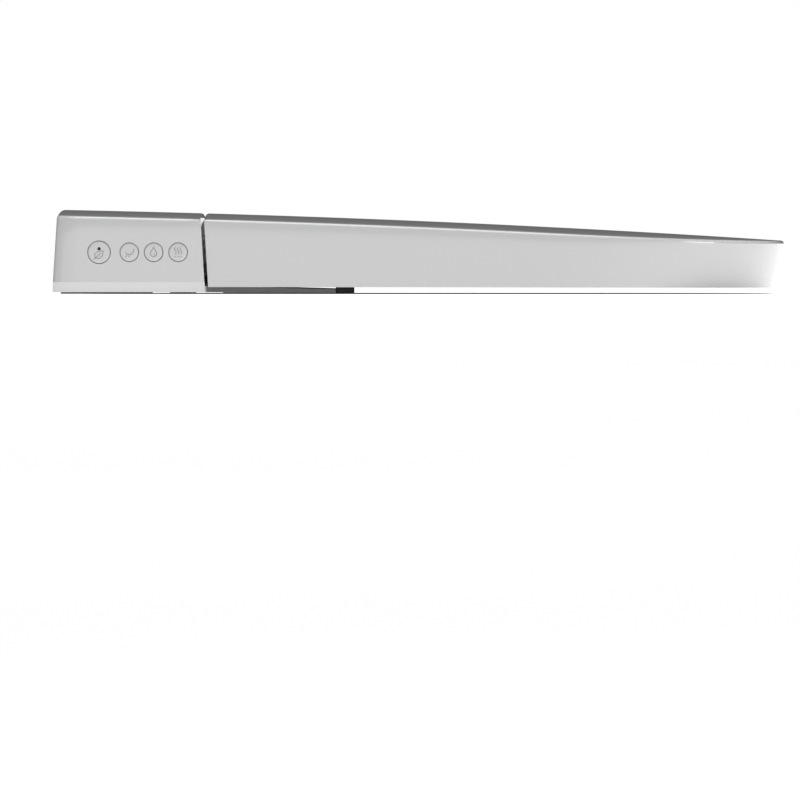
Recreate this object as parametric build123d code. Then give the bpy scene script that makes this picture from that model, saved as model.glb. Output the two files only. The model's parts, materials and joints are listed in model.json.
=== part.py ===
from build123d import *
import os
from math import cos, hypot, pi, radians, sin, tan

# Electric bidet seat. Millimetres, +Z up, the front faces -Y and the push buttons are on the -X side.
# The origin is the bottom centre of the whole seat. z = 0 is the surface that the seat rests on.

# ---- Overall sizes ----
LENGTH = 550.0  # rear of the casing to the lid's front tip
WIDTH = 380.0
CREST_HEIGHT = 63.2  # top of the casing at its rear edge
CASING_DEPTH = 115.6  # rear edge to the split between casing and lid, at z = 0
HALF_LENGTH = LENGTH / 2
HALF_WIDTH = WIDTH / 2

# ---- Outer form: a wedge with a crowned top and leaning walls ----
CREST_SLOPE = 0.0192  # slope of the crest at the rear edge
CREST_RADIUS = 11765.0  # the crest bends down towards the front
CROWN_RADIUS = 3537.0  # the top is also crowned from side to side
SIDE_DRAFT = 3.0  # degrees, side walls lean outwards as they rise
FRONT_DRAFT = 11.7  # degrees, the lid's front leans outwards more
REAR_LEAN = 3.6  # degrees, the casing's back leans forward as it rises
SIDE_TOP = 58.1  # height at which the overall width is measured
TIP_HEIGHT = 39.0  # height at which the overall length is measured
FRONT_ROUND = 183.0  # length of the rounded front of the lid
FRONT_POWER = 2.3  # 2 would be an ellipse, more is squarer
REAR_CORNER = 17.0
RIM_FILLET = 2.5

# ---- Walls, gaps and clearances ----
WALL = 2.5  # moulded wall of the lid and the casing
RING_WALL = 3.5
SPLIT_LEAN = 3.47  # degrees, the split leans back as it rises
SPLIT_GAP = 2.4
RUN_CLEARANCE = 0.05  # radial, a bush on its pin
FIT_CLEARANCE = 0.05  # radial, round pieces seated in the same body
SLIDE_CLEARANCE = 0.5
SCREW_CLEARANCE = 0.05

# ---- Base ----
TRAY_BOTTOM = 1.2
PART_LINE = 8.8  # joint between the base tray and the top casing
SIDE_CHAMFER = 6.0  # the tray's sides draw in below the joint
TRAY_FLOOR = 2.5
ARM_REACH = 96.0  # how far the tray's arms reach forward of the split
ARM_WIDTH = 47.5
ARM_BOTTOM = 0.6
ARM_REAR_TOP = 5.7
ARM_FRONT_TOP = 3.4
STRIP_DEPTH = 14.0
NOZZLE_NOTCH = 34.0  # half width of the gap in the strip for the nozzle
BUMPER_LENGTH = 12.9
BUMPER_WIDTH = 17.0
FOOT_RADIUS = 8.0
STAND_RADIUS = 2.5

# ---- Mounting plate ----
PLATE_WIDTH = 216.0
PLATE_DEPTH = 62.0
PLATE_INSET = 13.0  # from the casing's rear edge to the plate
PLATE_TOP = 8.2
FLANGE_BOTTOM = 4.0
FLANGE_REACH = 8.0
PAD_THICKNESS = 1.0
BOLT_SPACING = 155.0
SLOT_RADIUS = 4.3
SLOT_LENGTH = 24.0
BOLT_POCKET = (44.0, 24.0)
BOLT_POCKET_FLOOR = 3.6

# ---- Hinge shared by the ring and the lid ----
HINGE_BACK = 12.7  # from the axis to the casing's front lip
HINGE_DROP = 10.8  # from the lid's crest down to the axis
HINGE_BARREL = 5.2
BRACKET_NECK = 3.4  # the neck under the barrel leaves room for the opened lid's rear lip
HINGE_PIN = 3.0
BUSH_WALL = 1.1
BRACKET_INNER = 74.0
BRACKET_WIDTH = 18.0
EAR_WIDTH = 12.0
EAR_GAP = 2.0
DAMPER_RADIUS = 3.8
LID_CORNER = 3.0
LID_LIP = (4.5, 4.0)  # depth and thickness of the lid's rear lip
LID_RIB = 3.0  # depth of the ribs under the lid
CHANNEL_CLEARANCE = 0.7

# ---- Seat ring ----
RING_INSET = 6.0  # from the lid's outer face to the ring's outer face
RING_DROP = 12.0  # from the lid's top to the ring's top
RING_BOTTOM = 7.0
RING_PLATE = 2.5
RING_REAR_GAP = 7.0  # from the hinge axis to the ring's rear face
RING_OUTER_FILLET = 8.0
RING_INNER_FILLET = 9.0
HOLE_HALF_WIDTH = 108.0
HOLE_CENTRE_BACK = 310.0  # from the casing's rear edge to the hole's widest place
HOLE_FRONT_REACH = 160.0
HOLE_REAR_REACH = 127.0
HOLE_POWER = 2.2
ARCH_HALF_WIDTH = 31.0
ARCH_TOP = 27.0

# ---- Push buttons ----
BUTTON_HEIGHT = 31.0
BUTTON_TRAVEL = 1.0
BUTTON_GAP = 0.35
BUTTON_BACKS = {"button_stop": 35.4, "button_wash": 57.9, "button_rinse": 76.0, "button_dry": 94.3}
BUTTON_RADII = {"button_stop": 8.4, "button_wash": 6.95, "button_rinse": 6.95, "button_dry": 6.95}
STEM_RADIUS = 2.0
FLANGE_GAP = 2.1  # from the wall's inner face, less the lean of the side, to the button's flange
FLANGE_THICKNESS = 1.2
LED_RADIUS = 1.45
LED_RISE = 2.6

# ---- Nozzle ----
NOZZLE_ANGLE = 12.0  # degrees, down towards the front
NOZZLE_EXIT_HEIGHT = 13.0
NOZZLE_STAGE_TRAVEL = 50.0
OUTER_TUBE = (7.0, 5.6)
INNER_TUBE = (5.2, 2.0)
TUBE_LENGTH = 100.0
GEAR_MODULE = 1.0
PINION_TEETH = 12
PINION_BACK = 32.0
RACK_BASE = 8.0

# ---- Water inlet ----
INLET_RADIUS = 10.48  # G 1/2 pipe thread
INLET_LENGTH = 16.0
INLET_HEIGHT = 27.4
INLET_BACK = 27.0
POCKET_HALF = 17.0
POCKET_DEPTH = 27.0



# ======== Shared geometry ========

def crest(y):
    """Height of the top along the centre line."""
    back = HALF_LENGTH - y
    return CREST_HEIGHT - CREST_SLOPE * back - back**2 / (2 * CREST_RADIUS)


def crown(x, y):
    """Height of the crowned top."""
    return crest(y) - x**2 / (2 * CROWN_RADIUS)


def half_width(z):
    return HALF_WIDTH - (SIDE_TOP - z) * tan(radians(SIDE_DRAFT))


def tip_y(z):
    return -HALF_LENGTH + (TIP_HEIGHT - z) * tan(radians(FRONT_DRAFT))


def rear_y(z):
    return HALF_LENGTH - z * tan(radians(REAR_LEAN))


def split_y(z):
    return HALF_LENGTH - CASING_DEPTH + z * tan(radians(SPLIT_LEAN))


def casing_front(z):
    return split_y(z) + SPLIT_GAP / 2


def lid_rear(z):
    return split_y(z) - SPLIT_GAP / 2


FRONT_START = -HALF_LENGTH + FRONT_ROUND
HINGE_Y = casing_front(crest(HALF_LENGTH - CASING_DEPTH)) - HINGE_BACK
HINGE_Z = crest(HINGE_Y) - HINGE_DROP
TRAY_FRONT = split_y(0)
RIGHT = -HALF_WIDTH
LEFT = HALF_WIDTH
BACK = HALF_LENGTH
RING_EAR = (BRACKET_INNER + BRACKET_WIDTH + EAR_GAP, BRACKET_INNER + BRACKET_WIDTH + EAR_GAP + EAR_WIDTH)
LID_EAR = (RING_EAR[1] + EAR_GAP, RING_EAR[1] + EAR_GAP + EAR_WIDTH)
BUSH_OUTER = HINGE_PIN + RUN_CLEARANCE + BUSH_WALL


def block(x, y, z):
    """A box given by its low and high x, y and z."""
    centre = (sum(x) / 2, sum(y) / 2, sum(z) / 2)
    return Pos(*centre) * Box(x[1] - x[0], y[1] - y[0], z[1] - z[0])


def rod(radius, start, end):
    """A cylinder from one point to another."""
    axis = Vector(*end) - Vector(*start)
    return Solid.make_cylinder(radius, axis.length, Plane(origin=start, z_dir=axis))


def tube(outer, inner, start, end):
    return rod(outer, start, end) - rod(inner, start, end)


def cross_rod(radius, x, y, z):
    """A cylinder along X between two x values."""
    return rod(radius, (x[0], y, z), (x[1], y, z))


def post(radius, x, y, z):
    """A cylinder along Z between two z values."""
    return rod(radius, (x, y, z[0]), (x, y, z[1]))


def side_prism(points, x):
    """A prism along X whose outline is given as y, z points."""
    outline = Wire.make_polygon([Vector(x[0], y, z) for y, z in points])
    return Solid.extrude(Face(outline), Vector(x[1] - x[0], 0, 0))


def both_sides(shape):
    """The same piece on the left and on the right."""
    return [shape, mirror(shape, Plane.YZ)]


def above_crown(lift):
    """Everything above the crowned top raised by lift."""
    xs = [HALF_WIDTH * 1.1 * (step - 3) / 3 for step in range(7)]
    ys = [HALF_LENGTH * 1.1 * (step - 3) / 3 for step in range(7)]
    grid = [[Vector(x, y, crown(x, y) + lift) for x in xs] for y in ys]
    sheet = Face.make_surface_from_array_of_points(grid, tol=0.002)
    return Solid.extrude(sheet, Vector(0, 0, 2 * CREST_HEIGHT))


def on_crown(edge, lift):
    middle = edge.position_at(0.5)
    return abs(middle.Z - crown(middle.X, middle.Y) - lift) < 0.6


def super_curve(half, start, reach, power, steps):
    """Points of a rounded quarter outline from its widest place to its end on the centre line."""
    points = []
    for step in range(steps + 1):
        turn = pi / 2 * step / steps
        across = cos(turn) if step < steps else 0
        points.append((half * across ** (2 / power), start - reach * sin(turn) ** (2 / power)))
    return points


def lid_wire(z, inset, rear):
    """Outline of the lid at height z, drawn in by inset, with a straight rear edge."""
    half = half_width(z) - inset
    reach = FRONT_START - tip_y(z) - inset
    right = [Vector(x, y, z) for x, y in super_curve(half, FRONT_START, reach, FRONT_POWER, 8)]
    left = [Vector(-p.X, p.Y, z) for p in reversed(right)]
    rear_right = Vector(half, rear, z)
    rear_left = Vector(-half, rear, z)
    return Wire([
        Edge.make_line(rear_right, right[0]),
        Edge.make_spline(right, tangents=[(0, -1, 0), (-1, 0, 0)]),
        Edge.make_spline(left, tangents=[(-1, 0, 0), (0, 1, 0)]),
        Edge.make_line(left[-1], rear_left),
        Edge.make_line(rear_left, rear_right),
    ])


def lid_block(inset, bottom, rear_shift):
    """The lid's drafted form with no top, ending short of its rear edge by rear_shift."""
    levels = (bottom, CREST_HEIGHT + 10)
    wires = [lid_wire(z, inset, lid_rear(z) - rear_shift) for z in levels]
    return Solid.make_loft(wires, ruled=True)


def casing_wire(z, inset, side_inset):
    """Outline of the rear casing at height z, with rounded rear corners."""
    half = half_width(z) - inset - side_inset
    front = casing_front(z) + inset
    rear = rear_y(z) - inset
    corner = REAR_CORNER - inset
    mid = corner * (1 - cos(pi / 4))
    a, b = Vector(-half, front, z), Vector(-half, rear - corner, z)
    c, d = Vector(-half + corner, rear, z), Vector(half - corner, rear, z)
    e, f = Vector(half, rear - corner, z), Vector(half, front, z)
    return Wire([
        Edge.make_line(a, b),
        Edge.make_three_point_arc(b, Vector(-half + mid, rear - mid, z), c),
        Edge.make_line(c, d),
        Edge.make_three_point_arc(d, Vector(half - mid, rear - mid, z), e),
        Edge.make_line(e, f),
        Edge.make_line(f, a),
    ])


def casing_block(inset, bottom):
    levels = (bottom, CREST_HEIGHT + 10)
    return Solid.make_loft([casing_wire(z, inset, 0) for z in levels], ruled=True)


def casing_form():
    """The top casing's outer form with its rounded edges."""
    form = casing_block(0, PART_LINE) - above_crown(0)
    rim = [edge for edge in form.edges() if on_crown(edge, 0)]
    rear = [edge for edge in rim if edge.position_at(0.5).Y > BACK - 2 * REAR_CORNER]
    sides = [edge for edge in rim if abs(edge.position_at(0.5).X) > HALF_WIDTH - REAR_CORNER]
    sides = [edge for edge in sides if edge not in rear]
    return form.fillet(RIM_FILLET, sides + rear)


# ======== Mounting plate: the fixed part that is bolted down ========

PLATE_Y = (BACK - PLATE_INSET - PLATE_DEPTH, BACK - PLATE_INSET)
PLATE_MIDDLE = sum(PLATE_Y) / 2
PLATE_HALF = PLATE_WIDTH / 2
PLATE_FOOT_HALF = PLATE_HALF - FLANGE_REACH


def slot_cutter(x, z):
    """A slot along X at the plate's middle."""
    half_run = SLOT_LENGTH / 2 - SLOT_RADIUS
    run = block((x - half_run, x + half_run), (PLATE_MIDDLE - SLOT_RADIUS, PLATE_MIDDLE + SLOT_RADIUS), z)
    ends = [post(SLOT_RADIUS, x + side * half_run, PLATE_MIDDLE, z) for side in (-1, 1)]
    return run + ends[0] + ends[1]


def make_mounting_plate():
    plate = block((-PLATE_HALF, PLATE_HALF), PLATE_Y, (FLANGE_BOTTOM, PLATE_TOP))
    plate = chamfer(plate.edges().filter_by(Axis.Z), 5)
    plate += block((-PLATE_FOOT_HALF, PLATE_FOOT_HALF), PLATE_Y, (PAD_THICKNESS, FLANGE_BOTTOM))
    for side in (-1, 1):
        x = side * BOLT_SPACING / 2
        half_x, half_y = BOLT_POCKET[0] / 2, BOLT_POCKET[1] / 2
        pocket_y = (PLATE_MIDDLE - half_y, PLATE_MIDDLE + half_y)
        plate -= block((x - half_x, x + half_x), pocket_y, (BOLT_POCKET_FLOOR, PLATE_TOP + 1))
        plate -= slot_cutter(x, (0, PLATE_TOP))
    light_y = (PLATE_MIDDLE - 22, PLATE_MIDDLE + 22)
    for x in (-30, 0, 30):
        plate -= block((x - 11, x + 11), light_y, (BOLT_POCKET_FLOOR, PLATE_TOP + 1))
    return plate


def make_plate_pads():
    pads = []
    for side in (-1, 1):
        x = side * BOLT_SPACING / 2
        pad = block((x - 20, x + 20), (PLATE_Y[0] + 4, PLATE_Y[1] - 4), (0, PAD_THICKNESS))
        pads.append(pad - slot_cutter(x, (-1, PAD_THICKNESS + 1)))
    return pads


# ======== Base tray ========

BOSS_RADIUS = 4.0
BOSS_POINTS = [
    (RIGHT + 25, TRAY_FRONT + 11.6), (LEFT - 25, TRAY_FRONT + 11.6),
    (RIGHT + 25, BACK - 13), (LEFT - 50, BACK - 11),
    (33.2, TRAY_FRONT + 11.6), (-33.2, TRAY_FRONT + 11.6),
]
SCREW_RADIUS = 1.5
SCREW_HEAD = 3.0
SCREW_HEAD_Z = (3.2, 5.0)
SCREW_TOP = 20.0
RECESS_CLEARANCE = 0.6
RECESS_WALL = 3.9
RECESS_HALF = PLATE_HALF + RECESS_CLEARANCE
RECESS_FRONT = PLATE_Y[0] - 0.5
RECESS_TOP = PLATE_TOP + SLIDE_CLEARANCE
RECESS_CEILING = RECESS_TOP + TRAY_FLOOR
STRIP_FRONT = TRAY_FRONT - STRIP_DEPTH
ARM_OUTER = half_width(TRAY_BOTTOM) - SIDE_CHAMFER
ARM_FRONT = TRAY_FRONT - ARM_REACH
GLAND_X = -24.0
GLAND_Z = 24.0


def make_base_tray():
    """Tray with a chamfered rim, a recess for the plate and two arms that reach forward under the ring."""
    levels = [casing_wire(TRAY_BOTTOM, 0, SIDE_CHAMFER), casing_wire(PART_LINE, 0, 0)]
    tray = Part() + Solid.make_loft(levels, ruled=True)
    inner = [casing_wire(z, WALL, SIDE_CHAMFER) for z in (TRAY_BOTTOM + TRAY_FLOOR, PART_LINE + 1)]
    tray -= Solid.make_loft(inner, ruled=True)
    cover_half = RECESS_HALF + RECESS_WALL
    rear_in = rear_y(RECESS_CEILING) - WALL
    cover_y = (RECESS_FRONT - RECESS_WALL, rear_in)
    tray += block((-cover_half, cover_half), cover_y, (TRAY_BOTTOM, RECESS_CEILING))
    tray -= block((-RECESS_HALF, RECESS_HALF), (RECESS_FRONT, BACK + 1), (FLANGE_BOTTOM - 0.4, RECESS_TOP))
    foot_half = PLATE_FOOT_HALF + RECESS_CLEARANCE
    tray -= block((-foot_half, foot_half), (RECESS_FRONT, BACK + 1), (0, FLANGE_BOTTOM))
    tray += make_arms()
    for x, y in BOSS_POINTS:
        tray += post(BOSS_RADIUS, x, y, (TRAY_BOTTOM, PART_LINE))
        tray -= post(SCREW_HEAD + 0.3, x, y, (0, SCREW_HEAD_Z[1]))
        tray -= post(SCREW_RADIUS + 0.2, x, y, (0, PART_LINE + 1))
    tray -= block((-14, 14), (STRIP_FRONT - 1, TRAY_FRONT + 8), (TRAY_BOTTOM + TRAY_FLOOR, PART_LINE + 1))
    for x, y, top in stand_points():
        tray += stand(x, y, top)
    return tray


def stand(x, y, top):
    """Post that carries an inner part, from the tray's floor or from the cover over the mounting plate."""
    reach = RECESS_HALF + RECESS_WALL + STAND_RADIUS
    over_plate = abs(x) < reach and y > RECESS_FRONT - RECESS_WALL - STAND_RADIUS
    return post(STAND_RADIUS, x, y, (RECESS_CEILING - 0.5 if over_plate else TRAY_BOTTOM, top))


def stand_points():
    """Where the inner parts rest, and how high their undersides are."""
    front, rear = TRAY_FRONT + 22, TRAY_FRONT + 56
    points = [(x, y, TANK_Z[0]) for x in (TANK_X[0] + 10, TANK_X[1] - 10) for y in (front + 6, rear)]
    points += [(-83.5, front, 14), (-83.5, rear, 14)]
    points += [(BLOWER[0] + x, BLOWER[1] + y, BLOWER_Z[0]) for x in (-18, 14) for y in (-18, 18)]
    points += [(BLOWER[0], BLOWER[1], 4.2), (sum(DUCT_X) / 2, DUCT_Y[0] + 10, DUCT_Z[0])]
    points += [(sum(DUCT_X) / 2, DUCT_Y[1] - 12, DUCT_Z[0]), (sum(VALVE_X) / 2, INLET_Y - 2, 17)]
    points += [(*BREAKER, 14), (24.5, BACK - 27, 20)]
    guide_low = FILTER_Z[0] - FILTER_GAP - GUIDE_WALL
    points += [(x, FAN_Y, guide_low) for x in (GUIDE_X[0] + 8, GUIDE_X[1] - 10)]
    return points + [(sum(FAN_X) / 2, FAN_Y, FAN_Z - FAN_RADIUS - 1.1)]


def make_arms():
    """The strip under the hinge and the two tapering arms."""
    strip = block((-ARM_OUTER, ARM_OUTER), (STRIP_FRONT, TRAY_FRONT + 2), (TRAY_BOTTOM, ARM_REAR_TOP))
    strip -= block((-NOZZLE_NOTCH, NOZZLE_NOTCH), (STRIP_FRONT - 1, TRAY_FRONT - 2), (0, ARM_REAR_TOP + 1))
    outline = [
        (STRIP_FRONT + 2, ARM_BOTTOM), (ARM_FRONT, ARM_BOTTOM),
        (ARM_FRONT, ARM_FRONT_TOP), (STRIP_FRONT + 2, ARM_REAR_TOP),
    ]
    arm = side_prism(outline, (ARM_OUTER - ARM_WIDTH, ARM_OUTER))
    left, right = both_sides(arm)
    return strip + left + right


def make_rear_feet():
    spots = [(x, y) for x in (RIGHT + 45, LEFT - 45) for y in (BACK - 14, TRAY_FRONT + 20)]
    return [post(FOOT_RADIUS, x, y, (0, TRAY_BOTTOM)) for x, y in spots]


def make_base_bumpers():
    """Rubber blocks on the ends of the arms. The seat ring comes down on them."""
    y = (ARM_FRONT - BUMPER_LENGTH, ARM_FRONT)
    bumper = block((ARM_OUTER - BUMPER_WIDTH, ARM_OUTER - 0.5), y, (0, RING_BOTTOM - 0.3))
    bumper = fillet(bumper.edges().filter_by(Axis.Z), 1.5)
    return both_sides(bumper)


# ======== Top casing ========

def channel_rod(radius, half):
    return cross_rod(radius, (-half, half), HINGE_Y, HINGE_Z)


LID_SWEEP = hypot(lid_rear(crest(HINGE_Y)) - LID_CORNER - HINGE_Y, HINGE_DROP - LID_CORNER + 0.4) + LID_CORNER
CHANNEL_RADIUS = LID_SWEEP + CHANNEL_CLEARANCE
CHANNEL_HALF = HALF_WIDTH - 7
FILTER_Y = (TRAY_FRONT + 19.6, TRAY_FRONT + 53.6)
FILTER_Z = (14.0, 42.0)
FILTER_GAP = 0.4
INLET_Y = BACK - INLET_BACK
OUTLET_X = (-66.0, -38.0)
OUTLET_Z = (14.0, 34.0)
SENSOR_X = 52.0
SENSOR_Z = 30.0
SENSOR_RADIUS = 4.0
NIGHT_X = 8.0
NIGHT_Z = (30.0, 34.0)


def cut_casing_openings(casing):
    """Holes for the buttons, filter drawer, nozzle, dryer, sensor, night light and cord."""
    for name, back in BUTTON_BACKS.items():
        radius = BUTTON_RADII[name] + BUTTON_GAP
        casing -= cross_rod(radius, (RIGHT - 5, RIGHT + 10), BACK - back, BUTTON_HEIGHT)
    filter_y = (FILTER_Y[0] - FILTER_GAP, FILTER_Y[1] + FILTER_GAP)
    filter_z = (FILTER_Z[0] - FILTER_GAP, FILTER_Z[1] + FILTER_GAP)
    casing -= block((LEFT - 8, LEFT + 5), filter_y, filter_z)
    front = (TRAY_FRONT - 2, TRAY_FRONT + 7)
    casing -= block((-13, 13), front, (PART_LINE - 1, 26))
    casing -= block(OUTLET_X, front, OUTLET_Z)
    casing -= block((-NIGHT_X, NIGHT_X), front, NIGHT_Z)
    casing -= rod(SENSOR_RADIUS, (SENSOR_X, front[0], SENSOR_Z), (SENSOR_X, front[1], SENSOR_Z))
    casing -= rod(6.0, (GLAND_X, BACK - 12, GLAND_Z), (GLAND_X, BACK + 2, GLAND_Z))
    return casing


def make_top_casing():
    form = casing_form()
    cavity = casing_block(WALL, PART_LINE - 1) - above_crown(-WALL)
    casing = form - cavity
    casing += channel_rod(CHANNEL_RADIUS + 2.0, CHANNEL_HALF + 1.5) & form
    pocket_x = (LEFT - POCKET_DEPTH, LEFT + 5)
    pocket_y = (INLET_Y - POCKET_HALF, INLET_Y + POCKET_HALF)
    pocket_z = (INLET_HEIGHT - POCKET_HALF + 0.4, INLET_HEIGHT + POCKET_HALF)
    housing = block((pocket_x[0] - 2, LEFT), (pocket_y[0] - 2, pocket_y[1] + 2), (PART_LINE, pocket_z[1] + 2))
    casing += housing & form
    casing -= block(pocket_x, pocket_y, pocket_z)
    casing -= cross_rod(9.3, (LEFT - 35, LEFT - 20), INLET_Y, INLET_HEIGHT)
    for x, y in BOSS_POINTS:
        boss = post(BOSS_RADIUS, x, y, (PART_LINE, CREST_HEIGHT)) & form
        casing += boss - post(SCREW_RADIUS + SCREW_CLEARANCE, x, y, (0, SCREW_TOP + 2))
    casing -= channel_rod(CHANNEL_RADIUS, CHANNEL_HALF)
    return cut_casing_openings(casing)


def make_casing_screws():
    screws = []
    for x, y in BOSS_POINTS:
        slot = block((x - 2, x + 2), (y - 0.4, y + 0.4), (0, SCREW_HEAD_Z[0] + 0.8))
        head = post(SCREW_HEAD, x, y, SCREW_HEAD_Z) - slot
        screws.append(head + post(SCREW_RADIUS, x, y, (SCREW_HEAD_Z[1], SCREW_TOP)))
    return screws


# ======== Hinge ========

def make_hinge_brackets():
    x = (BRACKET_INNER, BRACKET_INNER + BRACKET_WIDTH)
    foot, neck = HINGE_Y + HINGE_BARREL + 1.8, HINGE_Y + BRACKET_NECK
    outline = [
        (HINGE_Y - HINGE_BARREL, ARM_REAR_TOP), (foot, ARM_REAR_TOP), (foot, HINGE_Z - 17),
        (neck, HINGE_Z - 13), (neck, HINGE_Z), (HINGE_Y - HINGE_BARREL, HINGE_Z),
    ]
    bracket = Part() + side_prism(outline, x) + cross_rod(HINGE_BARREL, x, HINGE_Y, HINGE_Z)
    bracket -= cross_rod(HINGE_PIN + FIT_CLEARANCE, x, HINGE_Y, HINGE_Z)
    bracket -= cross_rod(DAMPER_RADIUS + FIT_CLEARANCE, (x[0] - 1, x[0] + 9.6), HINGE_Y, HINGE_Z)
    return both_sides(bracket)


def make_hinge_pins():
    pin = cross_rod(HINGE_PIN, (BRACKET_INNER + 9.8, LID_EAR[1] + 1.5), HINGE_Y, HINGE_Z)
    pin = pin.chamfer(0.6, None, pin.edges().filter_by(GeomType.CIRCLE))
    return both_sides(pin)


def make_damper(side):
    """Rotary damper: a cap and a body that sits in the bracket's barrel."""
    cap = cross_rod(HINGE_BARREL - 0.2, (BRACKET_INNER - 2, BRACKET_INNER), HINGE_Y, HINGE_Z)
    body = cross_rod(DAMPER_RADIUS, (BRACKET_INNER, BRACKET_INNER + 9.4), HINGE_Y, HINGE_Z)
    damper = Part() + cap + body
    return damper if side > 0 else mirror(damper, Plane.YZ)


# ======== Seat ring ========

RING_REAR = HINGE_Y - RING_REAR_GAP
HOLE_Y = BACK - HOLE_CENTRE_BACK


def hole_prism(grow, z):
    """The egg-shaped hole of the ring as a prism."""
    half = HOLE_HALF_WIDTH + grow
    front = super_curve(half, HOLE_Y, HOLE_FRONT_REACH + grow, HOLE_POWER, 6)
    rear = [(x, 2 * HOLE_Y - y) for x, y in super_curve(half, HOLE_Y, HOLE_REAR_REACH + grow, HOLE_POWER, 6)]
    right = rear[:0:-1] + front
    left = [(-x, y) for x, y in reversed(right)][1:-1]
    outline = Edge.make_spline([Vector(x, y, z[0]) for x, y in right + left], periodic=True)
    return Solid.extrude(Face(Wire([outline])), Vector(0, 0, z[1] - z[0]))


def ring_form(inset, bottom, drop, grow, rear_inset, fillets):
    """Ring with its outer and inner top edges rounded."""
    levels = (bottom, CREST_HEIGHT + 10)
    wires = [lid_wire(z, RING_INSET + inset, RING_REAR - rear_inset) for z in levels]
    form = Solid.make_loft(wires, ruled=True) - above_crown(-drop)
    outer = [edge for edge in form.edges() if on_crown(edge, -drop)]
    form = form.fillet(fillets[0], outer) - hole_prism(grow, (0, CREST_HEIGHT))
    inner = [edge for edge in form.edges() if on_crown(edge, -drop) and is_hole_edge(edge)]
    return form.fillet(fillets[1], inner)


def is_hole_edge(edge):
    middle = edge.position_at(0.5)
    near = abs(middle.X) < HOLE_HALF_WIDTH + 12 and abs(middle.Y - HOLE_Y) < HOLE_FRONT_REACH + 12
    return near and edge.length > 2 * HOLE_FRONT_REACH


def ring_ear():
    """Arm from the ring up to the hinge."""
    top = crest(HINGE_Y) - RING_DROP
    outline = [
        (HINGE_Y, HINGE_Z + HINGE_BARREL), (HINGE_Y, HINGE_Z - HINGE_BARREL), (HINGE_Y - 10, HINGE_Z - 14),
        (HINGE_Y - 26, HINGE_Z - 14), (HINGE_Y - 26, top - 3.5),
    ]
    ear = Part() + side_prism(outline, RING_EAR) + cross_rod(HINGE_BARREL, RING_EAR, HINGE_Y, HINGE_Z)
    return ear


def ring_boss_points():
    points = []
    for x, back in ((HALF_WIDTH - 45, 165), (HALF_WIDTH - 42, 275), (HALF_WIDTH - 55, 405), (60, 485)):
        points += [(x, BACK - back), (-x, BACK - back)]
    return points


def make_ring_top():
    low = RING_BOTTOM + RING_PLATE
    shell = ring_form(0, low, RING_DROP, 0, 0, (RING_OUTER_FILLET, RING_INNER_FILLET))
    cavity = ring_form(RING_WALL, low - 1, RING_DROP + RING_WALL, RING_WALL, RING_WALL, (5.0, 5.5))
    arch_wall = ARCH_HALF_WIDTH + RING_WALL
    arch_y = (HOLE_Y, RING_REAR + 1)
    cavity -= block((-arch_wall, arch_wall), arch_y, (0, ARCH_TOP + RING_WALL))
    ring = Part() + (shell - cavity)
    ring -= block((-ARCH_HALF_WIDTH, ARCH_HALF_WIDTH), arch_y, (0, ARCH_TOP))
    for x, y in ring_boss_points():
        ring += post(4, x, y, (low, crown(x, y) - RING_DROP - 1)) - post(1.55, x, y, (0, low + 9))
    for ear in both_sides(ring_ear()):
        ring += ear
    bore = BUSH_OUTER + FIT_CLEARANCE
    for side in (-1, 1):
        span = sorted((side * (RING_EAR[0] - 1), side * (RING_EAR[1] + 1)))
        ring -= cross_rod(bore, span, HINGE_Y, HINGE_Z)
    return ring


def make_ring_plate():
    """Flat closing plate under the ring."""
    levels = (RING_BOTTOM, RING_BOTTOM + RING_PLATE)
    plate = Solid.make_loft([lid_wire(z, RING_INSET, RING_REAR) for z in levels], ruled=True)
    plate = Part() + plate - hole_prism(0, (0, CREST_HEIGHT))
    plate -= block((-ARCH_HALF_WIDTH, ARCH_HALF_WIDTH), (HOLE_Y, RING_REAR + 1), (0, ARCH_TOP))
    for x, y in ring_boss_points():
        plate -= post(3.3, x, y, (0, RING_BOTTOM + 1.2)) + post(1.7, x, y, (0, RING_BOTTOM + 5))
    return plate


def make_ring_screws():
    screws = []
    for x, y in ring_boss_points():
        head = post(3.0, x, y, (RING_BOTTOM + 0.1, RING_BOTTOM + 1.2))
        screws.append(head + post(1.5, x, y, (RING_BOTTOM + 1.2, RING_BOTTOM + 10)))
    return screws


def make_ring_heater():
    """Foil heater in the shape of a horseshoe on the closing plate."""
    z = (RING_BOTTOM + RING_PLATE, RING_BOTTOM + RING_PLATE + 0.8)
    foil = Solid.make_loft([lid_wire(level, RING_INSET + 24, RING_REAR - 62) for level in z], ruled=True)
    foil = Part() + foil - hole_prism(14, (0, CREST_HEIGHT))
    for x, y in ring_boss_points():
        foil -= post(5, x, y, (0, CREST_HEIGHT))
    return foil.solids()


def make_ring_bushes():
    outer, inner = BUSH_OUTER, HINGE_PIN + RUN_CLEARANCE
    bush = tube(outer, inner, (RING_EAR[0], HINGE_Y, HINGE_Z), (RING_EAR[1], HINGE_Y, HINGE_Z))
    return both_sides(bush)


# ======== Lid ========

LID_BOTTOM = (5.3, 4.4)  # height of the lid's lower edge at the rear and at the front


def lid_form():
    form = lid_block(0, 0, 0) - above_crown(0)
    rim = [edge for edge in form.edges() if on_crown(edge, 0)]
    rear = [edge for edge in rim if edge.position_at(0.5).Y > HINGE_Y]
    front = [edge for edge in rim if edge not in rear]
    form = form.fillet(RIM_FILLET, front)
    rear = [edge for edge in form.edges() if abs(edge.position_at(0.5).X) < 1 and on_crown(edge, 0)]
    rear = [edge for edge in rear if edge.position_at(0.5).Y > HINGE_Y]
    form = form.fillet(LID_CORNER - 0.2, rear)
    below = [(BACK, -5), (BACK, LID_BOTTOM[0]), (-BACK - 20, LID_BOTTOM[1]), (-BACK - 20, -5)]
    return form - side_prism(below, (RIGHT - 20, LEFT + 20))


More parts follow.
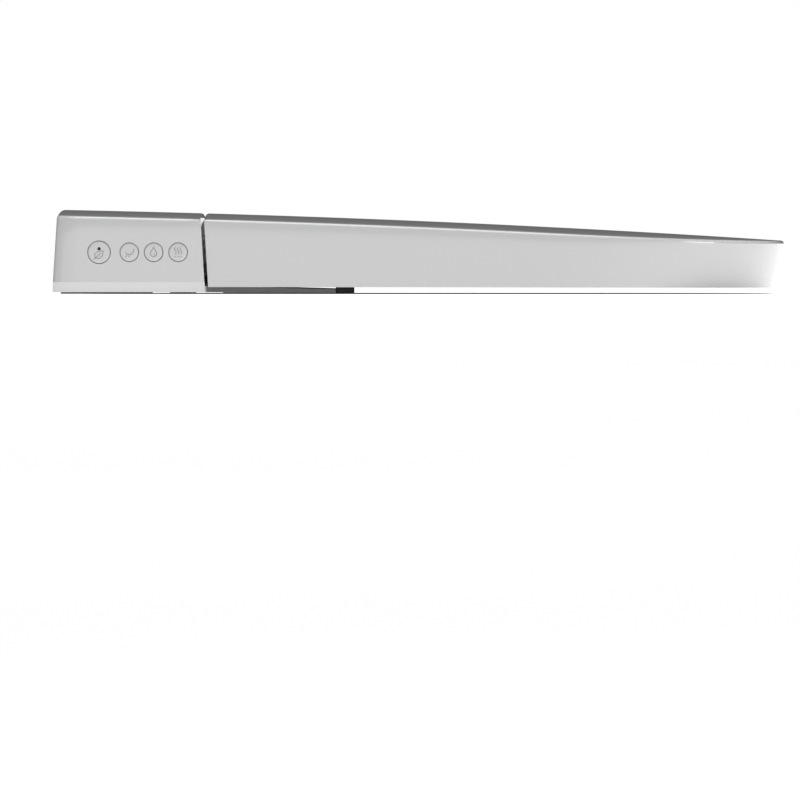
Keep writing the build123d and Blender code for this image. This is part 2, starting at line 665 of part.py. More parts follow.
def lid_ear():
    reach = HINGE_BARREL - 0.2
    y = (HINGE_Y - reach, HINGE_Y + reach)
    top = (HINGE_Z, crown(LID_EAR[1], HINGE_Y) - WALL + 0.8)
    return block(LID_EAR, y, top) + cross_rod(reach, LID_EAR, HINGE_Y, HINGE_Z)


def lid_ribs():
    """Stiffening ribs under the lid's top."""
    band = above_crown(-WALL - LID_RIB) - above_crown(-WALL + 0.4)
    ribs = []
    for x in (-60, 0, 60):
        ribs.append(block((x - 1, x + 1), (-BACK + 75, HINGE_Y - 30), (0, CREST_HEIGHT)) & band)
    span = (-HALF_WIDTH + 45, HALF_WIDTH - 45)
    for back in (385, 265, 175):
        ribs.append(block(span, (BACK - back - 1, BACK - back + 1), (0, CREST_HEIGHT)) & band)
    return ribs


def make_lid():
    shell = Part() + lid_form()
    shell -= lid_block(WALL, -5, LID_LIP[0]) - above_crown(-WALL)
    shell -= lid_block(WALL, -5, -20) - above_crown(-LID_LIP[1])
    for ear in both_sides(lid_ear()):
        shell += ear
    for rib in lid_ribs():
        shell += rib
    bore = BUSH_OUTER + FIT_CLEARANCE
    for side in (-1, 1):
        span = sorted((side * (LID_EAR[0] - 1), side * (LID_EAR[1] + 1)))
        shell -= cross_rod(bore, span, HINGE_Y, HINGE_Z)
    return shell


def make_lid_bushes():
    outer, inner = BUSH_OUTER, HINGE_PIN + RUN_CLEARANCE
    bush = tube(outer, inner, (LID_EAR[0], HINGE_Y, HINGE_Z), (LID_EAR[1], HINGE_Y, HINGE_Z))
    return both_sides(bush)


def make_lid_buffers():
    """Rubber buffers between the lid and the ring."""
    band = above_crown(-RING_DROP + 0.3) - above_crown(-WALL)
    buffers = []
    for x, back in ((HALF_WIDTH - 48, 235), (HALF_WIDTH - 66, 425)):
        buffers += both_sides(post(6, x, BACK - back, (0, CREST_HEIGHT)) & band)
    return buffers


# ======== Push buttons and their electronics ========

BOARD_X = (RIGHT + 16, RIGHT + 17.6)
SWITCH_X = (RIGHT + 12.8, BOARD_X[0])
FLANGE_X = (RIGHT + WALL + FLANGE_GAP, RIGHT + WALL + FLANGE_GAP + FLANGE_THICKNESS)


def make_button(name):
    y, radius = BACK - BUTTON_BACKS[name], BUTTON_RADII[name]
    cap = cross_rod(radius, (RIGHT - 5, FLANGE_X[0]), y, BUTTON_HEIGHT) & casing_block(0, PART_LINE)
    button = Part() + cap + cross_rod(radius + 1.1, FLANGE_X, y, BUTTON_HEIGHT)
    button += cross_rod(STEM_RADIUS, (FLANGE_X[1], SWITCH_X[0] - BUTTON_TRAVEL - 0.1), y, BUTTON_HEIGHT)
    if name == "button_stop":
        button -= cross_rod(LED_RADIUS + FIT_CLEARANCE, (RIGHT - 5, FLANGE_X[1]), y, BUTTON_HEIGHT + LED_RISE)
    return button


def make_led_lens():
    y = BACK - BUTTON_BACKS["button_stop"]
    lens = cross_rod(LED_RADIUS, (RIGHT - 5, FLANGE_X[1]), y, BUTTON_HEIGHT + LED_RISE)
    return lens & casing_block(0, PART_LINE)


def make_control_board():
    ys = [BACK - back for back in BUTTON_BACKS.values()]
    return block(BOARD_X, (min(ys) - 6, max(ys) + 10), (14, 48))


def make_tact_switches():
    return [block(SWITCH_X, (BACK - back - 3, BACK - back + 3), (BUTTON_HEIGHT - 3, BUTTON_HEIGHT + 3))
            for back in BUTTON_BACKS.values()]


def make_main_board():
    return block((RIGHT + 35, -36), (BACK - 12, BACK - 10.4), (12, 50))


def make_board_parts():
    """Capacitors, relays and connectors on the main board."""
    y = BACK - 12
    starts = [RIGHT + 42 + 24 * step for step in range(4)]
    parts = [block((x, x + 12), (y - 6, y), (34, 47)) for x in starts]
    parts += [rod(4, (x, y - 7, 40), (x, y, 40)) for x in (-56, -44)]
    return parts


def make_power_supply():
    core = block((-97, -70), (TRAY_FRONT + 14, TRAY_FRONT + 60), (14, 40))
    lid = block((-93, -74), (TRAY_FRONT + 20, TRAY_FRONT + 54), (40, 44))
    return fillet(core.edges().filter_by(Axis.Z), 2) + lid


def make_cord_gland():
    flange = rod(8, (GLAND_X, BACK - 9.5, GLAND_Z), (GLAND_X, BACK - 6.5, GLAND_Z))
    body = rod(5.9, (GLAND_X, BACK - 6.5, GLAND_Z), (GLAND_X, BACK - 0.6, GLAND_Z))
    return Part() + flange + body - rod(3.6, (GLAND_X, BACK - 10, GLAND_Z), (GLAND_X, BACK, GLAND_Z))


# ======== Water parts ========

VALVE_X = (LEFT - 70, LEFT - 36)


def make_inlet_fitting():
    """Brass stub with a G 1/2 outside thread, a flange and an inner hexagon nut."""
    y, z = INLET_Y, INLET_HEIGHT
    wall = LEFT - POCKET_DEPTH
    hexagon = extrude(Plane.YZ.offset(wall - 8) * Pos(y, z) * RegularPolygon(12, 6), 6)
    fitting = Part() + hexagon + cross_rod(9, (wall - 2, wall), y, z)
    fitting += cross_rod(13, (wall, wall + 2), y, z)
    thread = cross_rod(INLET_RADIUS, (wall + 2, wall + 2 + INLET_LENGTH), y, z)
    fitting += thread + cross_rod(9.2, (wall + 2 + INLET_LENGTH, wall + 4 + INLET_LENGTH), y, z)
    return fitting - cross_rod(6, (wall - 9, wall + 30), y, z)


def make_inlet_filter():
    wall = LEFT - POCKET_DEPTH
    cage = cross_rod(5.8, (wall + 8, wall + 17), INLET_Y, INLET_HEIGHT)
    cage -= cross_rod(4.4, (wall + 9.5, wall + 18), INLET_Y, INLET_HEIGHT)
    for step in range(6):
        turn = Rot(X=60 * step)
        window = turn * Pos(0, 0, 4) * Box(4, 2, 6)
        cage -= Pos(wall + 12.5, INLET_Y, INLET_HEIGHT) * window
    return cage


def make_solenoid_valve():
    y = (INLET_Y - 13, INLET_Y + 10)
    valve = Part() + block(VALVE_X, y, (17, 38))
    valve += cross_rod(8, (VALVE_X[1], LEFT - POCKET_DEPTH - 8), INLET_Y, INLET_HEIGHT)
    valve += post(9, sum(VALVE_X) / 2, INLET_Y - 2, (38, 51))
    return valve


def make_flow_sensor():
    x = (VALVE_X[0] - 18, VALVE_X[0])
    sensor = Part() + cross_rod(8, x, INLET_Y, INLET_HEIGHT)
    y, z = (INLET_Y - 8, INLET_Y + 8), (INLET_HEIGHT, INLET_HEIGHT + 11)
    return sensor + block((x[0] + 4, x[0] + 14), y, z)


TANK_X = (40.0, 98.0)
TANK_Y = (TRAY_FRONT + 20, TRAY_FRONT + 64)
TANK_Z = (13.0, 47.0)
BREAKER = (62.0, BACK - 30)


def make_heater_tank():
    tank = block(TANK_X, TANK_Y, TANK_Z)
    tank = fillet(tank.edges().filter_by(Axis.Z), 8)
    return fillet(tank.edges().group_by(Axis.Z)[-1], 3)


def make_vacuum_breaker():
    x, y = BREAKER
    return Part() + post(8, x, y, (14, 40)) + post(5, x, y, (40, 48))


def make_selector_valve():
    return block((15, 34), (BACK - 40, BACK - 14), (20, 42)) + post(6, 24, BACK - 27, (42, 50))


def hose(points, radius, bends):
    path = FilletPolyline(*points, radius=bends)
    section = Plane(origin=points[0], z_dir=Vector(*points[1]) - Vector(*points[0])) * Circle(radius)
    return sweep(section, path=path)


def make_water_hoses():
    """Hoses from the flow sensor to the tank, on to the vacuum breaker and to the selector valve."""
    start = VALVE_X[0] - 18
    tank_rear = TANK_Y[1]
    first = [(start, INLET_Y, INLET_HEIGHT), (84, INLET_Y, INLET_HEIGHT), (84, tank_rear, INLET_HEIGHT)]
    second = [(62, tank_rear, 34), (62, BREAKER[1] - 8, 34)]
    third = [(BREAKER[0] - 8, BREAKER[1], 26), (34, BREAKER[1], 26)]
    straight = [rod(2.5, *second), rod(2.5, *third)]
    return [hose(first, 2.5, 8)] + straight


# ======== Warm air dryer ========

BLOWER = (RIGHT + 60, BACK - 53)
BLOWER_RADIUS = 30.0
BLOWER_Z = (12.0, 40.0)
DUCT_WALL = 1.5
DUCT_Z = (12.0, 36.0)
DUCT_Y = (TRAY_FRONT + 8, BACK - 22)
DUCT_X = (OUTLET_X[0] - 0.5, OUTLET_X[1] + 0.5)
EXIT_Y = (BACK - 47, BACK - 23)
WHEEL_RADIUS = 22.0
BLADES = 18


def make_blower_housing():
    """Round housing with an exit to the duct and an inlet in its top."""
    x, y = BLOWER
    exit_x = (x, DUCT_X[0] - 0.3)
    outer = post(BLOWER_RADIUS, x, y, BLOWER_Z) + block(exit_x, EXIT_Y, DUCT_Z)
    inner_z = (BLOWER_Z[0] + DUCT_WALL, BLOWER_Z[1] - DUCT_WALL)
    inner = post(BLOWER_RADIUS - DUCT_WALL, x, y, inner_z)
    exit_y = (EXIT_Y[0] + DUCT_WALL, EXIT_Y[1] - DUCT_WALL)
    inner += block((x, exit_x[1] + 1), exit_y, (DUCT_Z[0] + DUCT_WALL, DUCT_Z[1] - DUCT_WALL))
    return Part() + outer - inner - post(15, x, y, (30, 45)) - post(3, x, y, (10, 20))


def make_blower_motor():
    x, y = BLOWER
    return post(11, x, y, (4.2, 11.8)) - post(1.6, x, y, (6, 12))


def make_blower_wheel():
    """Squirrel-cage wheel on a shaft."""
    x, y = BLOWER
    wheel = Part() + post(WHEEL_RADIUS, x, y, (15, 16.5))
    wheel += post(5, x, y, (16.5, 24)) + post(1.5, x, y, (6.5, 24))
    wheel += post(WHEEL_RADIUS, x, y, (34, 35.5)) - post(WHEEL_RADIUS - 4, x, y, (33, 36))
    for step in range(BLADES):
        turn = 360 / BLADES * step
        blade = Rot(Z=turn) * Pos(WHEEL_RADIUS - 2.2, 0, 25.25) * Rot(Z=35) * Box(4, 0.8, 17.6)
        wheel += Pos(x, y, 0) * blade
    return wheel


def make_dryer_duct():
    outer = block(DUCT_X, DUCT_Y, DUCT_Z)
    inner_x = (DUCT_X[0] + DUCT_WALL, DUCT_X[1] - DUCT_WALL)
    inner_z = (DUCT_Z[0] + DUCT_WALL, DUCT_Z[1] - DUCT_WALL)
    duct = outer - block(inner_x, (DUCT_Y[0] - 1, DUCT_Y[1] - DUCT_WALL), inner_z)
    side_y = (EXIT_Y[0] + DUCT_WALL, EXIT_Y[1] - DUCT_WALL)
    return duct - block((DUCT_X[0] - 1, DUCT_X[0] + 3), side_y, inner_z)


def make_dryer_heater():
    """Mica cross with heating wire round it."""
    x, z = sum(DUCT_X) / 2, sum(DUCT_Z) / 2
    y = (DUCT_Y[0] + 12, DUCT_Y[0] + 42)
    cross = block((x - 11, x + 11), y, (z - 0.5, z + 0.5)) + block((x - 0.5, x + 0.5), y, (z - 9, z + 9))
    for step in range(5):
        place = y[0] + 4 + 5.5 * step
        ring = rod(8.5, (x, place, z), (x, place + 1.2, z)) - rod(7.4, (x, place - 1, z), (x, place + 2, z))
        cross += ring
    return cross


def make_outlet_grille():
    gap = 0.3
    x = (OUTLET_X[0] + gap, OUTLET_X[1] - gap)
    z = (OUTLET_Z[0] + gap, OUTLET_Z[1] - gap)
    y = (TRAY_FRONT + 3.4, TRAY_FRONT + 7.4)
    grille = Part() + block(x, y, z)
    slots = 4
    pitch = (z[1] - z[0] - 2) / slots
    for step in range(slots):
        low = z[0] + 1.6 + pitch * step
        grille -= block((x[0] + 1.6, x[1] - 1.6), (y[0] - 1, y[1] + 1), (low, low + pitch - 1.4))
    return grille


# ======== Deodoriser ========

GUIDE_WALL = 1.2
GUIDE_X = (LEFT - 64, LEFT - 6)
FAN_X = (GUIDE_X[0] - 18, GUIDE_X[0] - 2)
FAN_Y = sum(FILTER_Y) / 2
FAN_Z = sum(FILTER_Z) / 2
FAN_RADIUS = 15.5
DRAWER_INNER = GUIDE_X[0] + 2


def make_filter_guide():
    low = FILTER_GAP + GUIDE_WALL
    outer = block(GUIDE_X, (FILTER_Y[0] - low, FILTER_Y[1] + low), (FILTER_Z[0] - low, FILTER_Z[1] + low))
    inner_y = (FILTER_Y[0] - FILTER_GAP, FILTER_Y[1] + FILTER_GAP)
    inner_z = (FILTER_Z[0] - FILTER_GAP, FILTER_Z[1] + FILTER_GAP)
    return outer - block((GUIDE_X[0] - 1, GUIDE_X[1] + 1), inner_y, inner_z)


def make_filter_drawer():
    """Drawer whose face is flush with the casing's side."""
    form = casing_block(0, PART_LINE)
    face = block((LEFT - 5, LEFT + 5), FILTER_Y, FILTER_Z) & form
    drawer = Part() + face + block((DRAWER_INNER, LEFT - 5), FILTER_Y, FILTER_Z)
    wall = 1.5
    tray_y = (FILTER_Y[0] + wall, FILTER_Y[1] - wall)
    drawer -= block((DRAWER_INNER + wall, LEFT - 5 - wall), tray_y, (FILTER_Z[0] + wall, FILTER_Z[1] + 1))
    window = (FILTER_Z[0] + 5, FILTER_Z[1] - 5)
    drawer -= block((DRAWER_INNER - 1, DRAWER_INNER + 3), (FILTER_Y[0] + 5, FILTER_Y[1] - 5), window)
    grip = cross_rod(7, (LEFT - 4.2, LEFT + 5), FAN_Y, FILTER_Z[0] - 1.5)
    return drawer - grip


def make_filter_element():
    x = (DRAWER_INNER + 1.8, LEFT - 6.8)
    return block(x, (FILTER_Y[0] + 1.8, FILTER_Y[1] - 1.8), (FILTER_Z[0] + 1.5, FILTER_Z[1] - 2))


def make_fan_housing():
    """Square frame with a round throat and a centre held by three arms."""
    half = FAN_RADIUS + 1.1
    frame = Part() + block(FAN_X, (FAN_Y - half, FAN_Y + half), (FAN_Z - half, FAN_Z + half))
    frame -= cross_rod(FAN_RADIUS, (FAN_X[0] - 1, FAN_X[1] + 1), FAN_Y, FAN_Z)
    spider = Part() + cross_rod(7, (FAN_X[1] - 2.5, FAN_X[1]), FAN_Y, FAN_Z)
    for step in range(3):
        arm = Rot(X=120 * step) * Pos(0, 0, 11.5) * Box(2.5, 2.5, 10)
        spider += Pos(FAN_X[1] - 1.25, FAN_Y, FAN_Z) * arm
    frame += spider
    return frame - cross_rod(1.0 + RUN_CLEARANCE, (FAN_X[1] - 3, FAN_X[1] + 1), FAN_Y, FAN_Z)


def make_fan_rotor():
    rotor = Part() + cross_rod(6.5, (FAN_X[0] + 1.5, FAN_X[1] - 3.2), FAN_Y, FAN_Z)
    rotor += cross_rod(1.0, (FAN_X[1] - 4, FAN_X[1] - 0.5), FAN_Y, FAN_Z)
    middle = (FAN_X[0] + FAN_X[1] - 1.7) / 2
    for step in range(7):
        blade = Rot(X=360 / 7 * step) * Pos(0, 0, 10) * Rot(Z=40) * Box(1.2, 9, 8.6)
        rotor += Pos(middle, FAN_Y, FAN_Z) * blade
    return rotor


# ======== Nozzle ========

NOZZLE_PLANE = Plane(
    origin=(0, HINGE_Y + 0.5, NOZZLE_EXIT_HEIGHT),
    x_dir=(1, 0, 0),
    z_dir=(0, -cos(radians(NOZZLE_ANGLE)), -sin(radians(NOZZLE_ANGLE))),
)
PITCH_RADIUS = GEAR_MODULE * PINION_TEETH / 2
ADDENDUM = 0.8 * GEAR_MODULE
DEDENDUM = 1.1 * GEAR_MODULE
PITCH = pi * GEAR_MODULE
TOOTH = 0.36 * PITCH
PINION_HEIGHT = RACK_BASE + DEDENDUM + PITCH_RADIUS
RACK = (-PINION_BACK - NOZZLE_STAGE_TRAVEL - 7, -PINION_BACK + 6)


def along_nozzle(shape):
    """Places a shape modelled with the nozzle's axis on +Z, pointing outwards."""
    return NOZZLE_PLANE.location * shape


def local_rod(radius, z):
    return Pos(0, 0, sum(z) / 2) * Cylinder(radius, z[1] - z[0])


def tooth_points(middle, base, tip, wide, narrow):
    return [(middle - wide, base), (middle - narrow, tip), (middle + narrow, tip), (middle + wide, base)]


def rack_bar():
    """Toothed bar on the outer tube, with a tooth gap under the pinion at rest."""
    points = []
    count = int((RACK[1] - RACK[0]) / PITCH)
    top = RACK_BASE + DEDENDUM + ADDENDUM
    start = -PINION_BACK + PITCH / 2
    first = -int((start - RACK[0] - 2) / PITCH)
    for step in range(first, first + count):
        middle = start + PITCH * step
        if middle + TOOTH < RACK[1]:
            points += tooth_points(middle, RACK_BASE, top, TOOTH * 0.68, TOOTH * 0.34)
    outline = [(RACK[0], 6.6)] + [(RACK[0], RACK_BASE)] + points + [(RACK[1], RACK_BASE), (RACK[1], 6.6)]
    wire = Wire.make_polygon([Vector(-2, y, z) for z, y in outline])
    return Solid.extrude(Face(wire), Vector(4, 0, 0))


def make_nozzle_outer():
    z = (-TUBE_LENGTH - 4, -4)
    body = Part() + local_rod(OUTER_TUBE[0], z) + rack_bar()
    return along_nozzle(body - local_rod(OUTER_TUBE[1], (z[0] - 1, z[1] + 1)))


def make_nozzle_inner():
    z = (-TUBE_LENGTH + 2, -12)
    return along_nozzle(Part() + local_rod(INNER_TUBE[0], z) - local_rod(INNER_TUBE[1], (z[0] - 1, z[1] + 1)))


def make_nozzle_tip():
    """Spray head with a row of small holes in its upper side."""
    tip = Part() + local_rod(INNER_TUBE[0], (-12, -1))
    tip -= local_rod(INNER_TUBE[1], (-13, -4))
    for x, z in ((0, -7), (-1.6, -5), (1.6, -5), (-1.6, -9), (1.6, -9)):
        tip -= Pos(x, 4, z) * Rot(X=90) * Cylinder(0.5, 6)
    return along_nozzle(tip)


def make_nozzle_shield():
    plate = Pos(0, 0, 0) * Box(24, 17, 2)
    plate = fillet(plate.edges().filter_by(Axis.Z), 5)
    return along_nozzle(plate)


def make_nozzle_cradle():
    """Open trough that the outer tube slides in."""
    z = (-TUBE_LENGTH - 8, -11)
    middle = sum(z) / 2
    trough = Part() + Pos(0, -4.3, middle) * Box(19, 10.6, z[1] - z[0])
    trough = along_nozzle(trough)
    for side in (-1, 1):
        x = sorted((side * 6.5, side * 9.5))
        trough += block(x, (TRAY_FRONT + 11, TRAY_FRONT + 17), (TRAY_BOTTOM + TRAY_FLOOR, 9.5))
        trough += block(x, (TRAY_FRONT + 45, TRAY_FRONT + 51), (RECESS_CEILING, 17.5))
    return trough - along_nozzle(local_rod(OUTER_TUBE[0] + SLIDE_CLEARANCE, (z[0] - 1, z[1] + 1)))


def make_nozzle_pinion():
    """Pinion on the motor's shaft. Its axis is parallel to X."""
    gear = Part() + Cylinder(PITCH_RADIUS - DEDENDUM, 6)
    for step in range(PINION_TEETH):
        root, tip = PITCH_RADIUS - DEDENDUM - 0.3, PITCH_RADIUS + ADDENDUM
        points = tooth_points(0, root, tip, TOOTH * 0.62, TOOTH * 0.3)
        wire = Wire.make_polygon([Vector(x, y, -3) for x, y in points])
        tooth = Solid.extrude(Face(wire), Vector(0, 0, 6))
        gear += Rot(Z=360 / PINION_TEETH * step) * tooth
    gear += Pos(0, 0, 9) * Cylinder(1.5, 14)
    seat = Plane(origin=(0, PINION_HEIGHT, -PINION_BACK), x_dir=(0, 0, 1), z_dir=(-1, 0, 0))
    return along_nozzle(seat.location * (Rot(Z=90) * gear))


def make_nozzle_motor():
    x = (-28, -12)
    axis = Plane(origin=(0, PINION_HEIGHT, -PINION_BACK), z_dir=(-1, 0, 0)).location
    body = Pos(0, 0, 20) * Cylinder(10.5, x[1] - x[0]) - Pos(0, 0, 12) * Cylinder(1.5 + RUN_CLEARANCE, 10)
    return along_nozzle(axis * body)


# ======== Sensor and night light ========

def make_sensor_window():
    y = (casing_front(SENSOR_Z) - 0.2, TRAY_FRONT + 9)
    lens = rod(SENSOR_RADIUS - FIT_CLEARANCE, (SENSOR_X, y[0], SENSOR_Z), (SENSOR_X, y[1], SENSOR_Z))
    return lens + block((SENSOR_X - 7, SENSOR_X + 7), (y[1], y[1] + 4), (SENSOR_Z - 6, SENSOR_Z + 6))


def make_night_light():
    y = (casing_front(NIGHT_Z[0]), TRAY_FRONT + 9)
    gap = 0.2
    return block((-NIGHT_X + gap, NIGHT_X - gap), y, (NIGHT_Z[0] + gap, NIGHT_Z[1] - gap))


PIECES = {
    "mounting_plate": make_mounting_plate,
    "plate_pads": make_plate_pads,
    "base_tray": make_base_tray,
    "rear_feet": make_rear_feet,
    "base_bumpers": make_base_bumpers,
    "top_casing": make_top_casing,
    "casing_screws": make_casing_screws,
    "hinge_brackets": make_hinge_brackets,
    "hinge_pins": make_hinge_pins,
    "ring_damper": lambda: make_damper(-1),
    "lid_damper": lambda: make_damper(1),
    "ring_top_shell": make_ring_top,
    "ring_bottom_plate": make_ring_plate,
    "ring_screws": make_ring_screws,
    "ring_heater": make_ring_heater,
    "ring_bushes": make_ring_bushes,
    "lid_shell": make_lid,
    "lid_bushes": make_lid_bushes,
    "lid_buffers": make_lid_buffers,
    "button_stop": lambda: make_button("button_stop"),
    "button_wash": lambda: make_button("button_wash"),
    "button_rinse": lambda: make_button("button_rinse"),
    "button_dry": lambda: make_button("button_dry"),
    "led_lens": make_led_lens,
    "control_board": make_control_board,
    "tact_switches": make_tact_switches,
    "main_board": make_main_board,
    "board_parts": make_board_parts,
    "power_supply": make_power_supply,
    "cord_gland": make_cord_gland,
    "inlet_fitting": make_inlet_fitting,
    "inlet_filter": make_inlet_filter,
    "solenoid_valve": make_solenoid_valve,
    "flow_sensor": make_flow_sensor,
    "heater_tank": make_heater_tank,
    "vacuum_breaker": make_vacuum_breaker,
    "selector_valve": make_selector_valve,
    "water_hoses": make_water_hoses,
    "blower_housing": make_blower_housing,
    "blower_motor": make_blower_motor,
    "blower_wheel": make_blower_wheel,
    "dryer_duct": make_dryer_duct,
    "dryer_heater": make_dryer_heater,
    "outlet_grille": make_outlet_grille,
    "filter_guide": make_filter_guide,
    "filter_drawer": make_filter_drawer,
    "filter_element": make_filter_element,
    "fan_housing": make_fan_housing,
    "fan_rotor": make_fan_rotor,
    "nozzle_outer": make_nozzle_outer,
    "nozzle_inner": make_nozzle_inner,
    "nozzle_tip": make_nozzle_tip,
    "nozzle_shield": make_nozzle_shield,
    "nozzle_cradle": make_nozzle_cradle,
    "nozzle_pinion": make_nozzle_pinion,
    "nozzle_motor": make_nozzle_motor,
    "sensor_window": make_sensor_window,
    "night_light": make_night_light,
}


def write_piece(name, made):
    """Writes a piece, or a group of separate solids, to its own file."""
    shapes = made if isinstance(made, list) else [made]
    solids = [solid for shape in shapes for solid in shape.solids()]
    export_step(Compound(children=solids) if len(solids) > 1 else solids[0], f"parts/{name}.step")


os.makedirs("parts", exist_ok=True)
for piece, maker in PIECES.items():
    write_piece(piece, maker())

print("hinge axis", round(HINGE_Y, 3), round(HINGE_Z, 3))
print("pinion radius", PITCH_RADIUS, "teeth", PINION_TEETH)
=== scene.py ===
import json
from math import atan2, cos, hypot, pi, radians, sin, tan

import bmesh
import bpy
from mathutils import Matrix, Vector


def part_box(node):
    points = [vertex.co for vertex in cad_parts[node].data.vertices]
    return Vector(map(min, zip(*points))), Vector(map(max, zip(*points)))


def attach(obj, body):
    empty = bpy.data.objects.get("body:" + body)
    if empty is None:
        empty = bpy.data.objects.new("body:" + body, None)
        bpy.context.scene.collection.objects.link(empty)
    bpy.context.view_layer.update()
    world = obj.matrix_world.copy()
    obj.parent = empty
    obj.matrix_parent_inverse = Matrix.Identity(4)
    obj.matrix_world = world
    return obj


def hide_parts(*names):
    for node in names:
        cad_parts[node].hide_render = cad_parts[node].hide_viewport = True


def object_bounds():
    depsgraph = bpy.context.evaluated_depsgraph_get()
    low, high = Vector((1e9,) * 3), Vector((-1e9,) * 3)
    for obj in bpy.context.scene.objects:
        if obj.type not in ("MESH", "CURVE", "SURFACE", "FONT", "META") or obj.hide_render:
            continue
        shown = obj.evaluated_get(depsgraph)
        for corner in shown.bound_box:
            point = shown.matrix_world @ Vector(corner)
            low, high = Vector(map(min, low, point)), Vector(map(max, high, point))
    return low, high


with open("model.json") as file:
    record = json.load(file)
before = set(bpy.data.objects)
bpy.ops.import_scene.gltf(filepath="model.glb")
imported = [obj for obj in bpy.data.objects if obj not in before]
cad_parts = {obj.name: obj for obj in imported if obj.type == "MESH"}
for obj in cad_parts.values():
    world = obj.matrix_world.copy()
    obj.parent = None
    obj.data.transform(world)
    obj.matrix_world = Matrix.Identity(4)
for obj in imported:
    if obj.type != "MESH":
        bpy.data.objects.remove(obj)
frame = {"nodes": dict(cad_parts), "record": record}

bl_info = {
    "name": "Electric bidet seat",
    "version": (1, 0, 0),
    "blender": (4, 5, 0),
    "location": "View3D > Sidebar > Bidet seat",
    "description": "Builds the finished shells, buttons, seals and materials of an electric bidet seat",
    "category": "Object",
}

# ---- Places read from the frame, in metres ----
MM = 0.001
HIGH = Vector(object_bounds()[1])
PART_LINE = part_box("top_casing")[0].z
RING_PLATE_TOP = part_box("ring_top_shell")[0].z
GRILLE_LOW, GRILLE_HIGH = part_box("outlet_grille")


def middle_of(node):
    low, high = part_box(node)
    return (low + high) / 2


HINGE = middle_of("hinge_pins")

# ---- Driving sizes of the outer form, as in the design ----
HALF_LENGTH = 275.0 * MM
HALF_WIDTH = 190.0 * MM
CREST_HEIGHT = 63.2 * MM
CREST_SLOPE = 0.0192
CREST_RADIUS = 11.765
CROWN_RADIUS = 3.537
SIDE_TOP = 58.1 * MM
TIP_HEIGHT = 39.0 * MM
SIDE_DRAFT = radians(3.0)
FRONT_DRAFT = radians(11.7)
REAR_LEAN = radians(3.6)
SPLIT_LEAN = radians(3.47)
CASING_DEPTH = 115.6 * MM
SPLIT_GAP = 2.4 * MM
FRONT_START = -HALF_LENGTH + 183.0 * MM
FRONT_POWER = 2.3
REAR_CORNER = 17.0 * MM
RING_INSET = 6.0 * MM
RING_DROP = 12.0 * MM
HOLE_Y = -35.0 * MM
HOLE_HALF = 108.0 * MM
HOLE_FRONT = 160.0 * MM
HOLE_REAR = 127.0 * MM
HOLE_POWER = 2.2
ARCH_HALF = 31.0 * MM
ARCH_TOP = 27.0 * MM
SKIN = 0.05 * MM  # a finished skin stays this far inside its solid
LID_SPLIT_RIM = 0.8  # rounding along the split as a share of the rim radius
CASING_SPLIT_RIM = 0.16

# ---- Lesser sizes ----
HINGE_BORE = 4.2 * MM
EAR_WIDTH = 12.0 * MM
CHANNEL_RADIUS = 14.6 * MM  # hollow that the lid's rear edge turns into
POCKET_REACH = 17.0 * MM  # half the width of the pocket round the water inlet
POCKET_DEPTH = 20.0 * MM
INLET_HOLE = 9.3 * MM
GLAND_HOLE = 6.0 * MM
SENSOR_HOLE = 4.0 * MM
DOOR_HALF = 13.0 * MM
DOOR_TOP = 26.0 * MM
RING_WALL = 3.5 * MM
RING_SETBACK = 7.0 * MM  # from the hinge axis to the ring's rear edge
EASE = 0.25 * MM  # gap round a fixed insert
ALONG_X = Vector((1, 0, 0))
ALONG_Y = Vector((0, 1, 0))


def crest(y):
    back = HALF_LENGTH - y
    return CREST_HEIGHT - CREST_SLOPE * back - back * back / (2 * CREST_RADIUS)


def crown(x, y):
    """Height of the crowned top."""
    return crest(y) - x * x / (2 * CROWN_RADIUS)


def half_width(z):
    return HALF_WIDTH - (SIDE_TOP - z) * tan(SIDE_DRAFT)


def tip_y(z):
    return -HALF_LENGTH + (TIP_HEIGHT - z) * tan(FRONT_DRAFT)


def split_y(z):
    return HALF_LENGTH - CASING_DEPTH + z * tan(SPLIT_LEAN)


def rear_y(z):
    return HALF_LENGTH - z * tan(REAR_LEAN)


# ======== Settings that a user would change ========

class BidetSizes(bpy.types.PropertyGroup):
    """Sizes of the finished shells."""
    wall: bpy.props.FloatProperty(
        name="Wall", description="Thickness of the moulded walls",
        default=2.5 * MM, min=1.5 * MM, max=4 * MM, subtype="DISTANCE", unit="LENGTH")
    rim: bpy.props.FloatProperty(
        name="Rim radius", description="Rounding between the top and the side walls",
        default=2.5 * MM, min=0.5 * MM, max=5 * MM, subtype="DISTANCE", unit="LENGTH")
    ring_rim: bpy.props.FloatProperty(
        name="Ring radius", description="Rounding of the seat ring's outer edge",
        default=8 * MM, min=2 * MM, max=10 * MM, subtype="DISTANCE", unit="LENGTH")
    rib_depth: bpy.props.FloatProperty(
        name="Rib depth", description="Depth of the ribs under the lid",
        default=2.9 * MM, min=0.5 * MM, max=4 * MM, subtype="DISTANCE", unit="LENGTH")
    icon_line: bpy.props.FloatProperty(
        name="Icon line", description="Width of the lines printed on the buttons",
        default=0.42 * MM, min=0.1 * MM, max=1 * MM, subtype="DISTANCE", unit="LENGTH")
    slats: bpy.props.IntProperty(
        name="Slats", description="Slats in the warm air outlet", default=5, min=2, max=9)


class BidetColours(bpy.types.PropertyGroup):
    """Colours of the finishes."""
    shell: bpy.props.FloatVectorProperty(
        name="Shell", description="Glossy white of the shells",
        default=(0.70, 0.70, 0.705), size=3, min=0, max=1, subtype="COLOR")
    base: bpy.props.FloatVectorProperty(
        name="Base", description="Satin white of the base",
        default=(0.70, 0.70, 0.705), size=3, min=0, max=1, subtype="COLOR")
    icon: bpy.props.FloatVectorProperty(
        name="Icon", description="Grey print on the buttons",
        default=(0.16, 0.16, 0.17), size=3, min=0, max=1, subtype="COLOR")


def sizes():
    return bpy.context.scene.bidet_sizes


